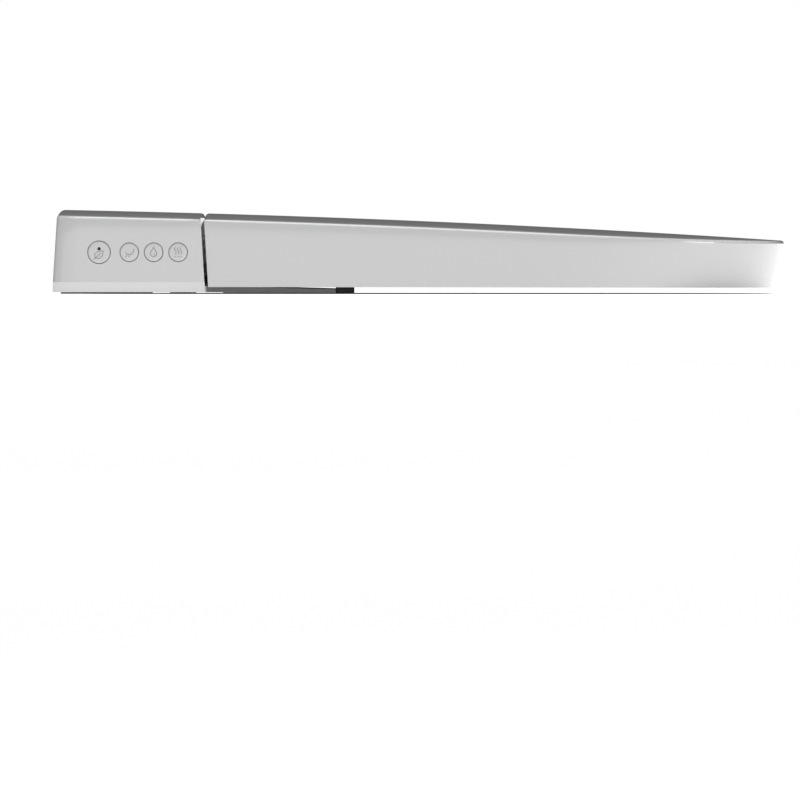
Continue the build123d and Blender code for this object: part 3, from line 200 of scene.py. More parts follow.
def colours():
    return bpy.context.scene.bidet_colours


# ======== Node maths ========

def maths(operation, swapped=False):
    """A method that puts a socket, and what it meets, through one Math node."""
    def method(self, other=None):
        first, second = (other, self) if swapped else (self, other)
        values = {0: first} if second is None else {0: first, 1: second}
        return self.graph.node("ShaderNodeMath", {"operation": operation}, values)
    return method


class Sock:
    """A node's output socket that can be used in Python expressions."""

    def __init__(self, graph, socket):
        self.graph = graph
        self.socket = socket

    __add__, __radd__ = maths("ADD"), maths("ADD", swapped=True)
    __sub__, __rsub__ = maths("SUBTRACT"), maths("SUBTRACT", swapped=True)
    __mul__, __rmul__ = maths("MULTIPLY"), maths("MULTIPLY", swapped=True)
    __truediv__, __rtruediv__ = maths("DIVIDE"), maths("DIVIDE", swapped=True)
    __gt__, __lt__ = maths("GREATER_THAN"), maths("LESS_THAN")
    power, sine, positive = maths("POWER"), maths("SINE"), maths("ABSOLUTE")

    def clamped(self):
        return self.graph.node("ShaderNodeClamp", {}, {"Value": self})


class Graph:
    """Makes nodes in one tree."""

    def __init__(self, tree):
        self.tree = tree

    def node(self, kind, settings=None, values=None, out=0):
        """Adds a node. Settings are set first, then the values or links of its sockets."""
        made = self.tree.nodes.new(kind)
        for name, value in (settings or {}).items():
            if name == "stops":
                self.set_stops(made.color_ramp, value)
            else:
                setattr(made, name, value)
        for name, value in (values or {}).items():
            self.feed(made.inputs[name], value)
        return Sock(self, made.outputs[out]) if made.outputs else made

    def feed(self, socket, value):
        if isinstance(value, Sock):
            self.tree.links.new(value.socket, socket)
        elif hasattr(value, "__len__") and socket.type == "RGBA" and len(value) == 3:
            socket.default_value = (*value, 1)
        else:
            socket.default_value = value

    @staticmethod
    def set_stops(ramp, stops):
        while len(ramp.elements) < len(stops):
            ramp.elements.new(0.5)
        for element, (place, colour) in zip(ramp.elements, stops):
            element.position = place
            element.color = (*colour, 1)

    def mix_colour(self, factor, first, second):
        mixed = self.tree.nodes.new("ShaderNodeMix")
        mixed.data_type = "RGBA"
        for name, value in (("Factor_Float", factor), ("A_Color", first), ("B_Color", second)):
            self.feed(next(s for s in mixed.inputs if s.identifier == name), value)
        return Sock(self, next(s for s in mixed.outputs if s.identifier == "Result_Color"))

    def separate(self, vector):
        parts = self.tree.nodes.new("ShaderNodeSeparateXYZ")
        self.feed(parts.inputs[0], vector)
        return [Sock(self, output) for output in parts.outputs]

    def combine(self, x, y, z):
        return self.node("ShaderNodeCombineXYZ", {}, {"X": x, "Y": y, "Z": z})

    def vector(self, operation, first, second):
        return self.node("ShaderNodeVectorMath", {"operation": operation}, {0: first, 1: second})


class Finish(Graph):
    """A material whose Principled shader is fed by procedural patterns on Object coordinates."""

    def __init__(self, name, fixed):
        self.material = bpy.data.materials.new(name)
        self.material.use_nodes = True
        super().__init__(self.material.node_tree)
        self.shader = self.tree.nodes["Principled BSDF"]
        for socket, value in fixed.items():
            self.feed(self.shader.inputs[socket], value)
        self.place = self.node("ShaderNodeTexCoord", {}, {}, out="Object")

    def noise(self, scale, detail=2.0, place=None):
        values = {"Vector": place or self.place, "Scale": scale, "Detail": detail, "Roughness": 0.55}
        return self.node("ShaderNodeTexNoise", {}, values)

    def stretched(self, factors):
        """Object coordinates drawn out along an axis, for brushed marks."""
        return self.vector("MULTIPLY", self.place, factors)

    def bump(self, height, strength, distance):
        values = {"Strength": strength, "Distance": distance, "Height": height}
        self.feed(self.shader.inputs["Normal"], self.node("ShaderNodeBump", {}, values))

    def tones(self, factor, first, second):
        """A base colour that wanders between two tones."""
        self.feed(self.shader.inputs["Base Color"], self.mix_colour(factor, first, second))

    def roughness(self, value):
        self.feed(self.shader.inputs["Roughness"], value)


# ======== Finishes ========

def darker(colour, share):
    return [channel * share for channel in colour]


def gloss_plastic(name, colour, rough=0.16, coat=1.0):
    """Polished moulded plastic: faint flow marks, slight orange peel and fine dust in the gloss."""
    finish = Finish(name, {"IOR": 1.49, "Coat Weight": coat, "Coat Roughness": 0.04})
    flow = finish.noise(7.0, 3.0, finish.stretched((0.6, 0.25, 2.0)))
    finish.tones(flow, darker(colour, 0.975), colour)
    dust = finish.noise(900.0, 2.0)
    finish.roughness(rough + 0.05 * finish.noise(60.0) + 0.04 * dust)
    finish.bump(finish.noise(320.0, 1.0), 0.05, 0.0004)
    return finish.material


def satin_plastic(name, colour, rough=0.42, grain=1500.0):
    """Moulded plastic with a fine spark-eroded grain."""
    finish = Finish(name, {"IOR": 1.49})
    cloud = finish.noise(18.0, 3.0)
    finish.tones(cloud, darker(colour, 0.93), colour)
    pits = finish.noise(grain, 2.0)
    finish.roughness(rough + 0.1 * pits + 0.06 * cloud)
    finish.bump(pits, 0.22, 0.0002)
    return finish.material


def tray_plastic_painted_shade(name, colour, arm_painted_shade_colour):
    """Satin base plastic. The arms under the lid get a dark grey as painted shade, standing in for the lid's
    shadow on them.
    """
    finish = Finish(name, {"IOR": 1.49})
    x, y, z = finish.separate(finish.place)
    cloud = finish.noise(18.0, 3.0)
    pale = finish.mix_colour(cloud, darker(colour, 0.95), colour)
    dark = finish.mix_colour(cloud, darker(arm_painted_shade_colour, 0.9), arm_painted_shade_colour)
    # Painted shade: in front of the split line the arms get the dark grey, standing in for the lid's shadow.
    finish.tones(y < split_y(0) + 0.4 * MM, pale, dark)
    pits = finish.noise(1500.0, 2.0)
    finish.roughness(0.3 + 0.1 * pits + 0.06 * cloud)
    finish.bump(pits, 0.15, 0.0002)
    return finish.material


def rubber(name, colour):
    """Dull rubber with a bloom in its colour and a pitted skin."""
    finish = Finish(name, {"Specular IOR Level": 0.35})
    bloom = finish.noise(120.0, 4.0)
    finish.tones(bloom.power(2.0), colour, [channel * 1.6 + 0.01 for channel in colour])
    skin = finish.noise(2200.0, 2.0)
    finish.roughness(0.68 + 0.2 * skin)
    finish.bump(skin, 0.35, 0.00025)
    return finish.material


def metal(name, colour, rough, stretch, grain=260.0):
    """Metal with turned or brushed marks drawn out along one axis."""
    finish = Finish(name, {"Metallic": 1.0})
    marks = finish.noise(grain, 3.0, finish.stretched(stretch))
    finish.tones(marks, darker(colour, 0.82), colour)
    finish.roughness(rough + 0.16 * marks)
    finish.bump(marks, 0.12, 0.0002)
    return finish.material


def circuit_board(name, colour):
    """Green board with a grid of copper tracks and pads under the lacquer."""
    finish = Finish(name, {"Coat Weight": 0.5, "Coat Roughness": 0.2})
    values = {"Vector": finish.stretched((1.0, 1.0, 1.0)), "Scale": 260.0, "Randomness": 0.3}
    cells = finish.node("ShaderNodeTexVoronoi", {"feature": "DISTANCE_TO_EDGE"}, values)
    tracks = cells < 0.09
    finish.tones(tracks, colour, [0.08, 0.36, 0.16])
    finish.roughness(0.35 + 0.15 * finish.noise(400.0))
    finish.bump(tracks, 0.4, 0.0001)
    return finish.material


def pellets(name, colour):
    """Activated carbon: packed grains."""
    finish = Finish(name, {})
    cells = finish.node("ShaderNodeTexVoronoi", {"feature": "F1"}, {"Vector": finish.place, "Scale": 700.0})
    finish.tones(cells, darker(colour, 0.4), [channel * 3 + 0.02 for channel in colour])
    finish.roughness(0.8 + 0.1 * cells)
    finish.bump(1.0 - cells, 0.9, 0.001)
    return finish.material


def foil(name, colour):
    """Aluminium foil heater with its wire pressed into it in a regular wave."""
    finish = Finish(name, {"Metallic": 1.0})
    x, y, z = finish.separate(finish.place)
    wire = ((y * 700.0 + (x * 90.0).sine() * 2.0).sine() > 0.86)
    crinkle = finish.noise(240.0, 4.0)
    finish.tones(wire, darker(colour, 0.9), [0.95, 0.94, 0.9])
    finish.roughness(0.28 + 0.25 * crinkle)
    finish.bump(crinkle + wire * 2.0, 0.5, 0.0004)
    return finish.material


def lens(name, colour, clear):
    """Tinted plastic lens with a faint cast haze."""
    finish = Finish(name, {"IOR": 1.5, "Transmission Weight": clear})
    haze = finish.noise(300.0, 2.0)
    finish.tones(haze, colour, [channel * 1.15 for channel in colour])
    finish.roughness(0.08 + 0.1 * haze)
    return finish.material


def print_ink(name, colour):
    """Pad printing: even grey with a slightly broken edge."""
    finish = Finish(name, {})
    grain = finish.noise(5000.0, 2.0)
    finish.tones(grain, colour, [channel * 1.5 for channel in colour])
    finish.roughness(0.4 + 0.2 * grain)
    return finish.material


def make_finishes():
    """One material for each material slot of the record, and one for the print."""
    shell, base = list(colours().shell), list(colours().base)
    made = {
        "white_plastic": gloss_plastic("gloss_white_plastic", shell),
        "button_plastic": gloss_plastic("button_white_plastic", darker(shell, 1.03), 0.22, 0.2),
        "nozzle_plastic": gloss_plastic("nozzle_white_plastic", shell, 0.2),
        "base_plastic": satin_plastic("satin_white_plastic", base, 0.38),
        "grey_plastic": satin_plastic("grey_plastic", [0.42, 0.43, 0.44]),
        "dark_plastic": satin_plastic("dark_plastic", [0.035, 0.035, 0.038], 0.5),
        "bush_plastic": satin_plastic("bush_plastic", [0.78, 0.76, 0.68], 0.35, 900.0),
        "filter_plastic": satin_plastic("filter_plastic", [0.55, 0.6, 0.64]),
        "black_component": satin_plastic("black_component", [0.02, 0.02, 0.022], 0.5),
        "mica": satin_plastic("mica", [0.5, 0.42, 0.26], 0.5, 500.0),
        "rubber": rubber("black_rubber", [0.012, 0.012, 0.012]),
        "buffer_rubber": rubber("grey_rubber", [0.42, 0.42, 0.42]),
        "hose_rubber": rubber("hose_rubber", [0.6, 0.6, 0.57]),
        "steel": metal("turned_steel", [0.55, 0.55, 0.56], 0.3, (9.0, 1.0, 1.0)),
        "nozzle_steel": metal("polished_steel", [0.82, 0.82, 0.83], 0.08, (1.0, 0.05, 1.0)),
        "brass": metal("turned_brass", [0.75, 0.55, 0.26], 0.22, (12.0, 1.0, 1.0)),
        "aluminium_foil": foil("aluminium_foil", [0.75, 0.75, 0.76]),
        "circuit_board": circuit_board("circuit_board", [0.01, 0.12, 0.05]),
        "carbon_filter": pellets("carbon_filter", [0.02, 0.02, 0.02]),
        "dark_lens": lens("dark_lens", [0.02, 0.02, 0.025], 0.0),
        "clear_lens": lens("clear_lens", [0.86, 0.9, 0.95], 0.6),
    }
    made["icon"] = print_ink("icon_print", list(colours().icon))
    # The base tray's arms under the lid get a painted shade of dark grey.
    made["tray"] = tray_plastic_painted_shade("base_white_plastic", darker(shell, 1.02), [0.17, 0.17, 0.175])
    return made


FINISHES = {}


def slot_of(node):
    return next(row["material_slot"] for row in frame["record"]["subparts"] if row["node"] == node)


# ======== Meshes ========

def new_object(name, mesh):
    made = bpy.data.objects.new(name, mesh)
    bpy.context.scene.collection.objects.link(made)
    return made


def lofted(name, loops, closed_ends=True):
    """A mesh through closed loops of equal length. Its faces point outwards."""
    mesh = bpy.data.meshes.new(name)
    shape = bmesh.new()
    rings = [[shape.verts.new(point) for point in loop] for loop in loops]
    for low, high in zip(rings, rings[1:]):
        for index in range(len(low)):
            after = (index + 1) % len(low)
            shape.faces.new((low[index], low[after], high[after], high[index]))
    if closed_ends:
        shape.faces.new(reversed(rings[0]))
        shape.faces.new(rings[-1])
    bmesh.ops.remove_doubles(shape, verts=shape.verts, dist=2e-6)
    bmesh.ops.dissolve_degenerate(shape, edges=shape.edges, dist=1e-7)
    bmesh.ops.recalc_face_normals(shape, faces=shape.faces)
    shape.to_mesh(mesh)
    shape.free()
    return new_object(name, mesh)


def box_object(name, low, high):
    x, y, z = zip(low, high)
    loops = [[(x[0], y[0], h), (x[1], y[0], h), (x[1], y[1], h), (x[0], y[1], h)] for h in z]
    return lofted(name, loops)


def circle(centre, radius, across, up, steps=40):
    return [centre + across * radius * cos(2 * pi * s / steps) + up * radius * sin(2 * pi * s / steps)
            for s in range(steps)]


def turned(name, start, axis, profile, steps=48):
    """A body of revolution. The profile holds radius and distance along the axis from start."""
    axis = axis.normalized()
    across = axis.orthogonal().normalized()
    up = axis.cross(across)
    loops = [circle(start + axis * along, max(radius, 1e-5), across, up, steps) for radius, along in profile]
    return lofted(name, loops)


def settle(target, change):
    """Turns what a modifier makes into the object's own plain mesh."""
    view = bpy.context.evaluated_depsgraph_get()
    finished = bpy.data.meshes.new_from_object(target.evaluated_get(view))
    target.modifiers.remove(change)
    old = target.data
    target.data = finished
    bpy.data.meshes.remove(old)
    if not finished.polygons:
        raise RuntimeError(f"{target.name} came out empty")
    return target


def cut(target, tool, operation="DIFFERENCE"):
    """Cuts tool out of target, or joins it, and throws the tool away."""
    change = target.modifiers.new("cut", "BOOLEAN")
    change.operation = operation
    change.solver = "EXACT"
    change.object = tool
    settle(target, change)
    bpy.data.objects.remove(tool)


def join(target, *tools):
    for tool in tools:
        cut(target, tool, "UNION")


def smooth(target, angle=32.0):
    """Smooth faces with sharp edges only where the surface turns sharply."""
    target.data.shade_smooth()
    target.data.set_sharp_from_angle(angle=radians(angle))


def finish_piece(target, body, slot, *nodes):
    """Gives a piece its finish, its body and the solids that it stands for."""
    target.data.materials.clear()
    target.data.materials.append(FINISHES[slot])
    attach(target, body)
    if nodes:
        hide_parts(*nodes)
    return target


# ======== Outlines of the outer form ========

def quarter(half, start, reach, power, steps):
    """From the widest place of a rounded end to its tip on the centre line."""
    points = []
    for step in range(steps + 1):
        turn = pi / 2 * step / steps
        across = cos(turn) if step < steps else 0.0
        points.append((half * across ** (2 / power), start - reach * sin(turn) ** (2 / power)))
    return points


def run(a, b, steps):
    """Points from a up to, but not including, b."""
    return [(a[0] + (b[0] - a[0]) * s / steps, a[1] + (b[1] - a[1]) * s / steps) for s in range(steps)]


def corner(centre, radius, start, end, steps):
    turns = [start + (end - start) * s / steps for s in range(steps + 1)]
    return [(centre[0] + radius * cos(t), centre[1] + radius * sin(t)) for t in turns]


def lid_outline(z, inset, rear, corner_radius=1.0 * MM):
    """Closed outline of the lid at height z, drawn in by inset."""
    half = half_width(z) - inset
    reach = FRONT_START - tip_y(z) - inset
    radius = max(corner_radius - inset, 0.02 * MM)
    front = quarter(half, FRONT_START, reach, FRONT_POWER, 56)
    left = [(-x, y) for x, y in reversed(front)][1:]
    points = run((half, rear - radius), (half, FRONT_START), 16) + front + left[:-1]
    points += run((-half, FRONT_START), (-half, rear - radius), 16)
    points += corner((-half + radius, rear - radius), radius, pi, pi / 2, 4)
    points += run((-half + radius, rear), (half - radius, rear), 24)[1:]
    points += corner((half - radius, rear - radius), radius, pi / 2, 0, 4)[:-1]
    return points


def casing_outline(z, inset, side_inset=0.0, front_radius=0.8 * MM):
    """Closed outline of the rear casing at height z, with rounded rear corners."""
    half = half_width(z) - inset - side_inset
    front = split_y(z) + SPLIT_GAP / 2 + inset
    rear = rear_y(z) - inset
    big = max(REAR_CORNER - inset, 0.05 * MM)
    small = max(front_radius - inset, 0.02 * MM)
    points = corner((-half + small, front + small), small, 1.5 * pi, pi, 4)
    points += run((-half, front + small), (-half, rear - big), 10)[1:]
    points += corner((-half + big, rear - big), big, pi, pi / 2, 14)
    points += run((-half + big, rear), (half - big, rear), 24)[1:]
    points += corner((half - big, rear - big), big, pi / 2, 0, 14)
    points += run((half, rear - big), (half, front + small), 10)[1:]
    points += corner((half - small, front + small), small, 0, -pi / 2, 4)
    points += run((half - small, front), (-half + small, front), 24)[1:]
    return points


def crowned_body(name, outline, lift, rim, floor, split_rim):
    """A closed body under the crowned top, with a rounded rim, down to floor(y)."""
    rings, fillet_steps, wall_steps = 9, 5, 4

    def at_height(inset, drop):
        """The outline just below the top, where its own height sets how far the walls lean."""
        points = []
        for index, (x, y) in enumerate(outline(SIDE_TOP, inset)):
            height = round(crown(x, y) + lift - drop, 4)
            share = split_rim + (1 - split_rim) * min(abs(y - split_y(height)) / (6 * MM), 1.0)
            height = round(crown(x, y) + lift - drop * share, 4)
            wide, tight = outline(height, inset)[index], outline(height, inset * split_rim)[index]
            px, py = (near + (far - near) * (share - split_rim) / (1 - split_rim)
                      for near, far in zip(tight, wide))
            points.append((px, py, crown(px, py) + lift - drop * share))
        return points

    edge = at_height(rim, 0.0)
    middle_y = sum(point[1] for point in edge) / len(edge)
    loops = []
    for step in range(1, rings + 1):
        share = step / rings
        ring = [(x * share, middle_y + (y - middle_y) * share) for x, y, _ in edge]
        loops.append([(x, y, crown(x, y) + lift) for x, y in ring])
    for step in range(1, fillet_steps + 1):
        turn = pi / 2 * step / fillet_steps
        loops.append(at_height(rim * (1 - sin(turn)), rim * (1 - cos(turn))))
    top = loops[-1]
    for step in range(1, wall_steps + 1):
        share = step / wall_steps
        heights = [z + (floor(y) - z) * share for x, y, z in top]
        ring = []
        for index, height in enumerate(heights):
            x, y = outline(height, 0.0)[index]
            ring.append((x, y, height if step < wall_steps else floor(y)))
        loops.append(ring)
    return lofted(name, loops)


# ======== Lid ========

def lid_floor(y):
    """Height of the lid's lower edge, a little lower at the front."""
    share = (HALF_LENGTH - y) / (2 * HALF_LENGTH + 20 * MM)
    return (5.3 - 0.9 * share) * MM


def lid_rear(z, shift):
    return split_y(z) - SPLIT_GAP / 2 - shift


def lid_solid(name, inset, drop, rim, shift, floor):
    def outline(z, more):
        return cached(lid_outline, z, inset + more, lid_rear(z, shift + max(more, 0.0)))
    return crowned_body(name, outline, -drop, rim, floor, LID_SPLIT_RIM)


OUTLINES = {}


def cached(outline, *values):
    """Outlines are asked for once for each point, so equal ones are kept."""
    key = (outline.__name__, *[round(value, 6) for value in values])
    if key not in OUTLINES:
        OUTLINES[key] = outline(*values)
    return OUTLINES[key]


def hinge_ear(name, x, reach, top, bore):
    """Rounded ear round the hinge axis, reaching up to the lid's underside."""
    y, z = HINGE.y, HINGE.z
    arc = [(y + reach * cos(t), z + reach * sin(t)) for t in [pi * (1 + s / 16) for s in range(17)]]
    outline = arc + [(y + reach, top), (y - reach, top)]
    ear = lofted(name, [[(place, py, pz) for py, pz in outline] for place in x])
    start = Vector((x[0] - 2 * MM, y, z))
    cut(ear, turned("bore", start, ALONG_X, [(bore, 0), (bore, x[1] - x[0] + 4 * MM)]))
    return ear


class BIDET_OT_lid(bpy.types.Operator):
    """Makes the lid: a thin crowned shell with a lip at the hinge and two ears."""
    bl_idname = "bidet.lid"
    bl_label = "Lid"

    def execute(self, context):
        wall, rim = sizes().wall, sizes().rim
        shell = lid_solid("lid_outer", SKIN, SKIN, rim, 0.0, lid_floor)
        for drop, shift in ((wall, 4.5 * MM), (4.0 * MM, -20 * MM)):
            cut(shell, lid_solid("lid_cavity", wall, drop, rim * 0.6, shift, lambda y: -5 * MM))
        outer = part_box("lid_bushes")[1].x
        top = crown(outer, HINGE.y) - wall + 0.3 * MM
        for side in (1, -1):
            x = sorted((side * (outer - EAR_WIDTH), side * outer))
            join(shell, hinge_ear("ear", x, 5.0 * MM, top, HINGE_BORE))
        smooth(shell)
        finish_piece(shell, "lid", "white_plastic", "lid_shell")
        return {"FINISHED"}


# ======== Top casing ========

def casing_solid(name, inset, drop, rim, floor):
    def outline(z, more):
        return cached(casing_outline, z, inset + more)
    return crowned_body(name, outline, -drop, rim, lambda y: floor, CASING_SPLIT_RIM)


BUTTON_NODES = ("button_stop", "button_wash", "button_rinse", "button_dry")
BUTTON_BODIES = ("stop_button", "wash_button", "rinse_button", "dry_button")
BUTTON_GAP = 0.35 * MM
FLANGE_STEP = 1.1 * MM


def button_place(node):
    """Centre and radius of a button's round cap, on the casing's right side."""
    low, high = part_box(node)
    centre = (low + high) / 2
    return Vector((-half_width(centre.z), centre.y, centre.z)), (high.y - low.y) / 2 - FLANGE_STEP


def side_rod(name, x, y, z, radius, steps=64):
    return turned(name, Vector((x[0], y, z)), ALONG_X, [(radius, 0), (radius, x[1] - x[0])], steps)


class BIDET_OT_casing(bpy.types.Operator):
    """Makes the rear unit's top casing with its openings for buttons, filter, hose, outlet and nozzle."""
    bl_idname = "bidet.casing"
    bl_label = "Top casing"

    def execute(self, context):
        wall, rim = sizes().wall, sizes().rim
        shell = casing_solid("casing_outer", SKIN, SKIN, rim, PART_LINE)
        cut(shell, casing_solid("casing_cavity", wall, wall, rim * 0.6, PART_LINE - 2 * MM))
        self.add_channel(shell)
        self.add_pocket(shell)
        for node in BUTTON_NODES:
            place, radius = button_place(node)
            x = (place.x - 4 * MM, place.x + 8 * MM)
            cut(shell, side_rod("hole", x, place.y, place.z, radius + BUTTON_GAP))
        self.cut_front(shell)
        self.cut_filter(shell)
        middle = middle_of("cord_gland")
        start = Vector((middle.x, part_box("cord_gland")[1].y - 9 * MM, middle.z))
        cut(shell, turned("gland_hole", start, ALONG_Y, [(GLAND_HOLE, 0), (GLAND_HOLE, 12 * MM)]))
        smooth(shell)
        finish_piece(shell, "main_unit", "white_plastic", "top_casing")
        return {"FINISHED"}

    def add_channel(self, shell):
        """Hollow in the front wall that the lid's rear edge turns into."""
        half = HALF_WIDTH - 7 * MM
        x = (-half - 1.4 * MM, half + 1.4 * MM)
        thick = side_rod("channel_wall", x, HINGE.y, HINGE.z, CHANNEL_RADIUS + 2 * MM, 96)
        limit = casing_solid("limit", 1.2 * MM, 1.2 * MM, 1.5 * MM, PART_LINE)
        cut(thick, limit, "INTERSECT")
        join(shell, thick)
        cut(shell, side_rod("channel", (-half, half), HINGE.y, HINGE.z, CHANNEL_RADIUS, 96))

    def add_pocket(self, shell):
        """Pocket in the left side round the water inlet."""
        middle = middle_of("inlet_fitting")
        inner_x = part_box("inlet_fitting")[1].x - POCKET_DEPTH
        reach = POCKET_REACH
        outer = box_object("pocket_wall", (inner_x - 2 * MM, middle.y - reach - 2 * MM, PART_LINE),
                           (HALF_WIDTH + 2 * MM, middle.y + reach + 2 * MM, middle.z + reach + 2 * MM))
        cut(outer, casing_solid("limit", 0.8 * MM, 0.8 * MM, 1.5 * MM, PART_LINE), "INTERSECT")
        join(shell, outer)
        cut(shell, box_object("pocket", (inner_x, middle.y - reach, middle.z - reach + 0.4 * MM),
                              (HALF_WIDTH + 5 * MM, middle.y + reach, middle.z + reach)))
        x = (inner_x - 8 * MM, inner_x + 2 * MM)
        cut(shell, side_rod("inlet_hole", x, middle.y, middle.z, INLET_HOLE))

    def cut_front(self, shell):
        """Openings in the front wall: nozzle door, warm air outlet, night light and seat sensor."""
        front = (split_y(0) - 2 * MM, split_y(0) + 7 * MM)
        door = (-DOOR_HALF, front[0], PART_LINE - MM), (DOOR_HALF, front[1], DOOR_TOP)
        cut(shell, box_object("nozzle_door", *door))
        for node in ("outlet_grille", "night_light"):
            low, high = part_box(node)
            cut(shell, box_object("opening", (low.x - EASE, front[0], low.z - EASE),
                                  (high.x + EASE, front[1], high.z + EASE)))
        sensor = middle_of("sensor_window")
        start = Vector((sensor.x, front[0], sensor.z))
        cut(shell, turned("sensor", start, ALONG_Y, [(SENSOR_HOLE, 0), (SENSOR_HOLE, 9 * MM)]))

    def cut_filter(self, shell):
        low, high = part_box("filter_drawer")
        gap = 0.4 * MM
        cut(shell, box_object("filter_hole", (HALF_WIDTH - 8 * MM, low.y - gap, low.z - gap),
                              (HALF_WIDTH + 5 * MM, high.y + gap, high.z + gap)))


# ======== Seat ring ========

def hole_outline(grow):
    half = HOLE_HALF + grow
    front = quarter(half, HOLE_Y, HOLE_FRONT + grow, HOLE_POWER, 40)
    rear = [(x, 2 * HOLE_Y - y) for x, y in quarter(half, HOLE_Y, HOLE_REAR + grow, HOLE_POWER, 40)]
    right = rear[:0:-1] + front
    return right + [(-x, y) for x, y in reversed(right)][1:-1]


def polar_reach(outline, angle):
    """Distance from the ring's centre to an outline in a given direction."""
    ray = (cos(angle), sin(angle))
    best = 0.0
    for (ax, ay), (bx, by) in zip(outline, outline[1:] + outline[:1]):
        ay, by = ay - HOLE_Y, by - HOLE_Y
        ex, ey = bx - ax, by - ay
        cross = ray[0] * ey - ray[1] * ex
        if abs(cross) < 1e-15:
            continue
        along = (ax * ey - ay * ex) / cross
        share = (ax * ray[1] - ay * ray[0]) / cross
        if -1e-9 <= share <= 1 + 1e-9 and along > best:
            best = along
    return best


RING_REAR = HINGE.y - RING_SETBACK


def ring_angles():
    """Directions round the ring, with one at each rear corner."""
    half = half_width(RING_PLATE_TOP) - RING_INSET
    corner_turn = atan2(RING_REAR - HOLE_Y, half)
    angles = []
    for start, end, steps in (
            (corner_turn - 2 * pi + (pi - 2 * corner_turn), corner_turn, 208),
            (corner_turn, pi - corner_turn, 56)):
        angles += [start + (end - start) * s / steps for s in range(steps)]
    return angles


def ring_body(name, inset, drop, grow, radii, floor):
    """The seat ring's closed form: outer wall, outer rounding, top, inner rounding, inner wall."""
    outer_radius, inner_radius = radii
    angles = ring_angles()

    def outer(z, more):
        return cached(lid_outline, z, RING_INSET + inset + more, RING_REAR - inset - more, 3.0 * MM)

    def point(angle, reach, z):
        return (reach * cos(angle), HOLE_Y + reach * sin(angle), z)

    loops = []

    def outer_loop(more, fall, height=None):
        loop = []
        for angle in angles:
            reach = polar_reach(outer(0.04, more), angle)
            x, y, _ = point(angle, reach, 0)
            level = crown(x, y) - drop - fall if height is None else height
            reach = polar_reach(outer(round(level, 4), more), angle)
            loop.append(point(angle, reach, level))
        return loop

    def inner_loop(more, fall, height=None):
        loop = []
        for angle in angles:
            reach = polar_reach(cached(hole_outline, grow + more), angle)
            x, y, _ = point(angle, reach, 0)
            loop.append((x, y, crown(x, y) - drop - fall if height is None else height))
        return loop

    loops.append(outer_loop(0, 0, floor))
    for step in range(0, 7):
        turn = pi / 2 * step / 6
        loops.append(outer_loop(outer_radius * (1 - cos(turn)), outer_radius * (1 - sin(turn))))
    outside, inside = loops[-1], inner_loop(inner_radius, 0)
    for step in range(1, 6):
        share = step / 6
        ring = [(a[0] + (b[0] - a[0]) * share, a[1] + (b[1] - a[1]) * share) for a, b in zip(outside, inside)]
        loops.append([(x, y, crown(x, y) - drop) for x, y in ring])
    for step in range(0, 7):
        turn = pi / 2 * step / 6
        loops.append(inner_loop(inner_radius * (1 - sin(turn)), inner_radius * (1 - cos(turn))))
    loops.append(inner_loop(0, 0, floor))
    loops.append(loops[0])
    return lofted(name, loops, closed_ends=False)


def arch_tool(name, half, top, low):
    """Tunnel under the ring's rear for the nozzle, with rounded upper corners."""
    radius = 8 * MM
    outline = [(half, low), (half, top - radius)]
    for turn in (pi / 8, pi / 4, 3 * pi / 8):
        outline.append((half - radius + radius * cos(turn), top - radius + radius * sin(turn)))
    outline.append((half - radius, top))
    outline += [(-x, z) for x, z in reversed(outline)]
    return lofted(name, [[(x, y, z) for x, z in outline] for y in (HOLE_Y, HINGE.y)])


def ring_arm(name, x):
    """Arm from the ring's rear up to the hinge."""
    y, z, reach = HINGE.y, HINGE.z, 5.15 * MM
    arc = [(y + reach * cos(t), z + reach * sin(t)) for t in [pi / 2 - pi * s / 18 for s in range(19)]]
    top = crest(y) - RING_DROP - 3.5 * MM
    outline = arc + [(y - 10 * MM, z - 14 * MM), (y - 26 * MM, z - 14 * MM), (y - 26 * MM, top)]
    arm = lofted(name, [[(place, py, pz) for py, pz in outline] for place in x])
    start = Vector((x[0] - MM, y, z))
    cut(arm, turned("bore", start, ALONG_X, [(HINGE_BORE, 0), (HINGE_BORE, x[1] - x[0] + 2 * MM)]))
    return arm


class BIDET_OT_ring(bpy.types.Operator):
    """Makes the seat ring's top shell: rounded outside and towards the hole, with an arch for the nozzle."""
    bl_idname = "bidet.ring"
    bl_label = "Seat ring"

    def execute(self, context):
        floor, wall = RING_PLATE_TOP, RING_WALL
        radii = (sizes().ring_rim, 9.0 * MM)
        shell = ring_body("ring_shell", SKIN, RING_DROP + SKIN, SKIN, radii, floor)
        radii = (5.0 * MM, 5.5 * MM)
        cavity = ring_body("ring_cavity", wall, RING_DROP + wall, wall, radii, floor - MM)
        cut(cavity, arch_tool("arch_keep", ARCH_HALF + wall, ARCH_TOP + wall, floor - 3 * MM))
        cut(shell, cavity)
        cut(shell, arch_tool("arch", ARCH_HALF, ARCH_TOP, floor - 3 * MM))
        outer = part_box("ring_bushes")[1].x
        for side in (1, -1):
            x = sorted((side * (outer - EAR_WIDTH), side * outer))
            join(shell, ring_arm("arm", x))
        smooth(shell)
        finish_piece(shell, "ring", "white_plastic", "ring_top_shell")
        return {"FINISHED"}


# ======== Push buttons ========

OUT = Vector((-cos(SIDE_DRAFT), 0, -sin(SIDE_DRAFT)))  # away from the leaning side wall
UP = Vector((-sin(SIDE_DRAFT), 0, cos(SIDE_DRAFT)))
RIGHT = Vector((0, -1, 0))
PRINT_HEIGHT = 0.03 * MM


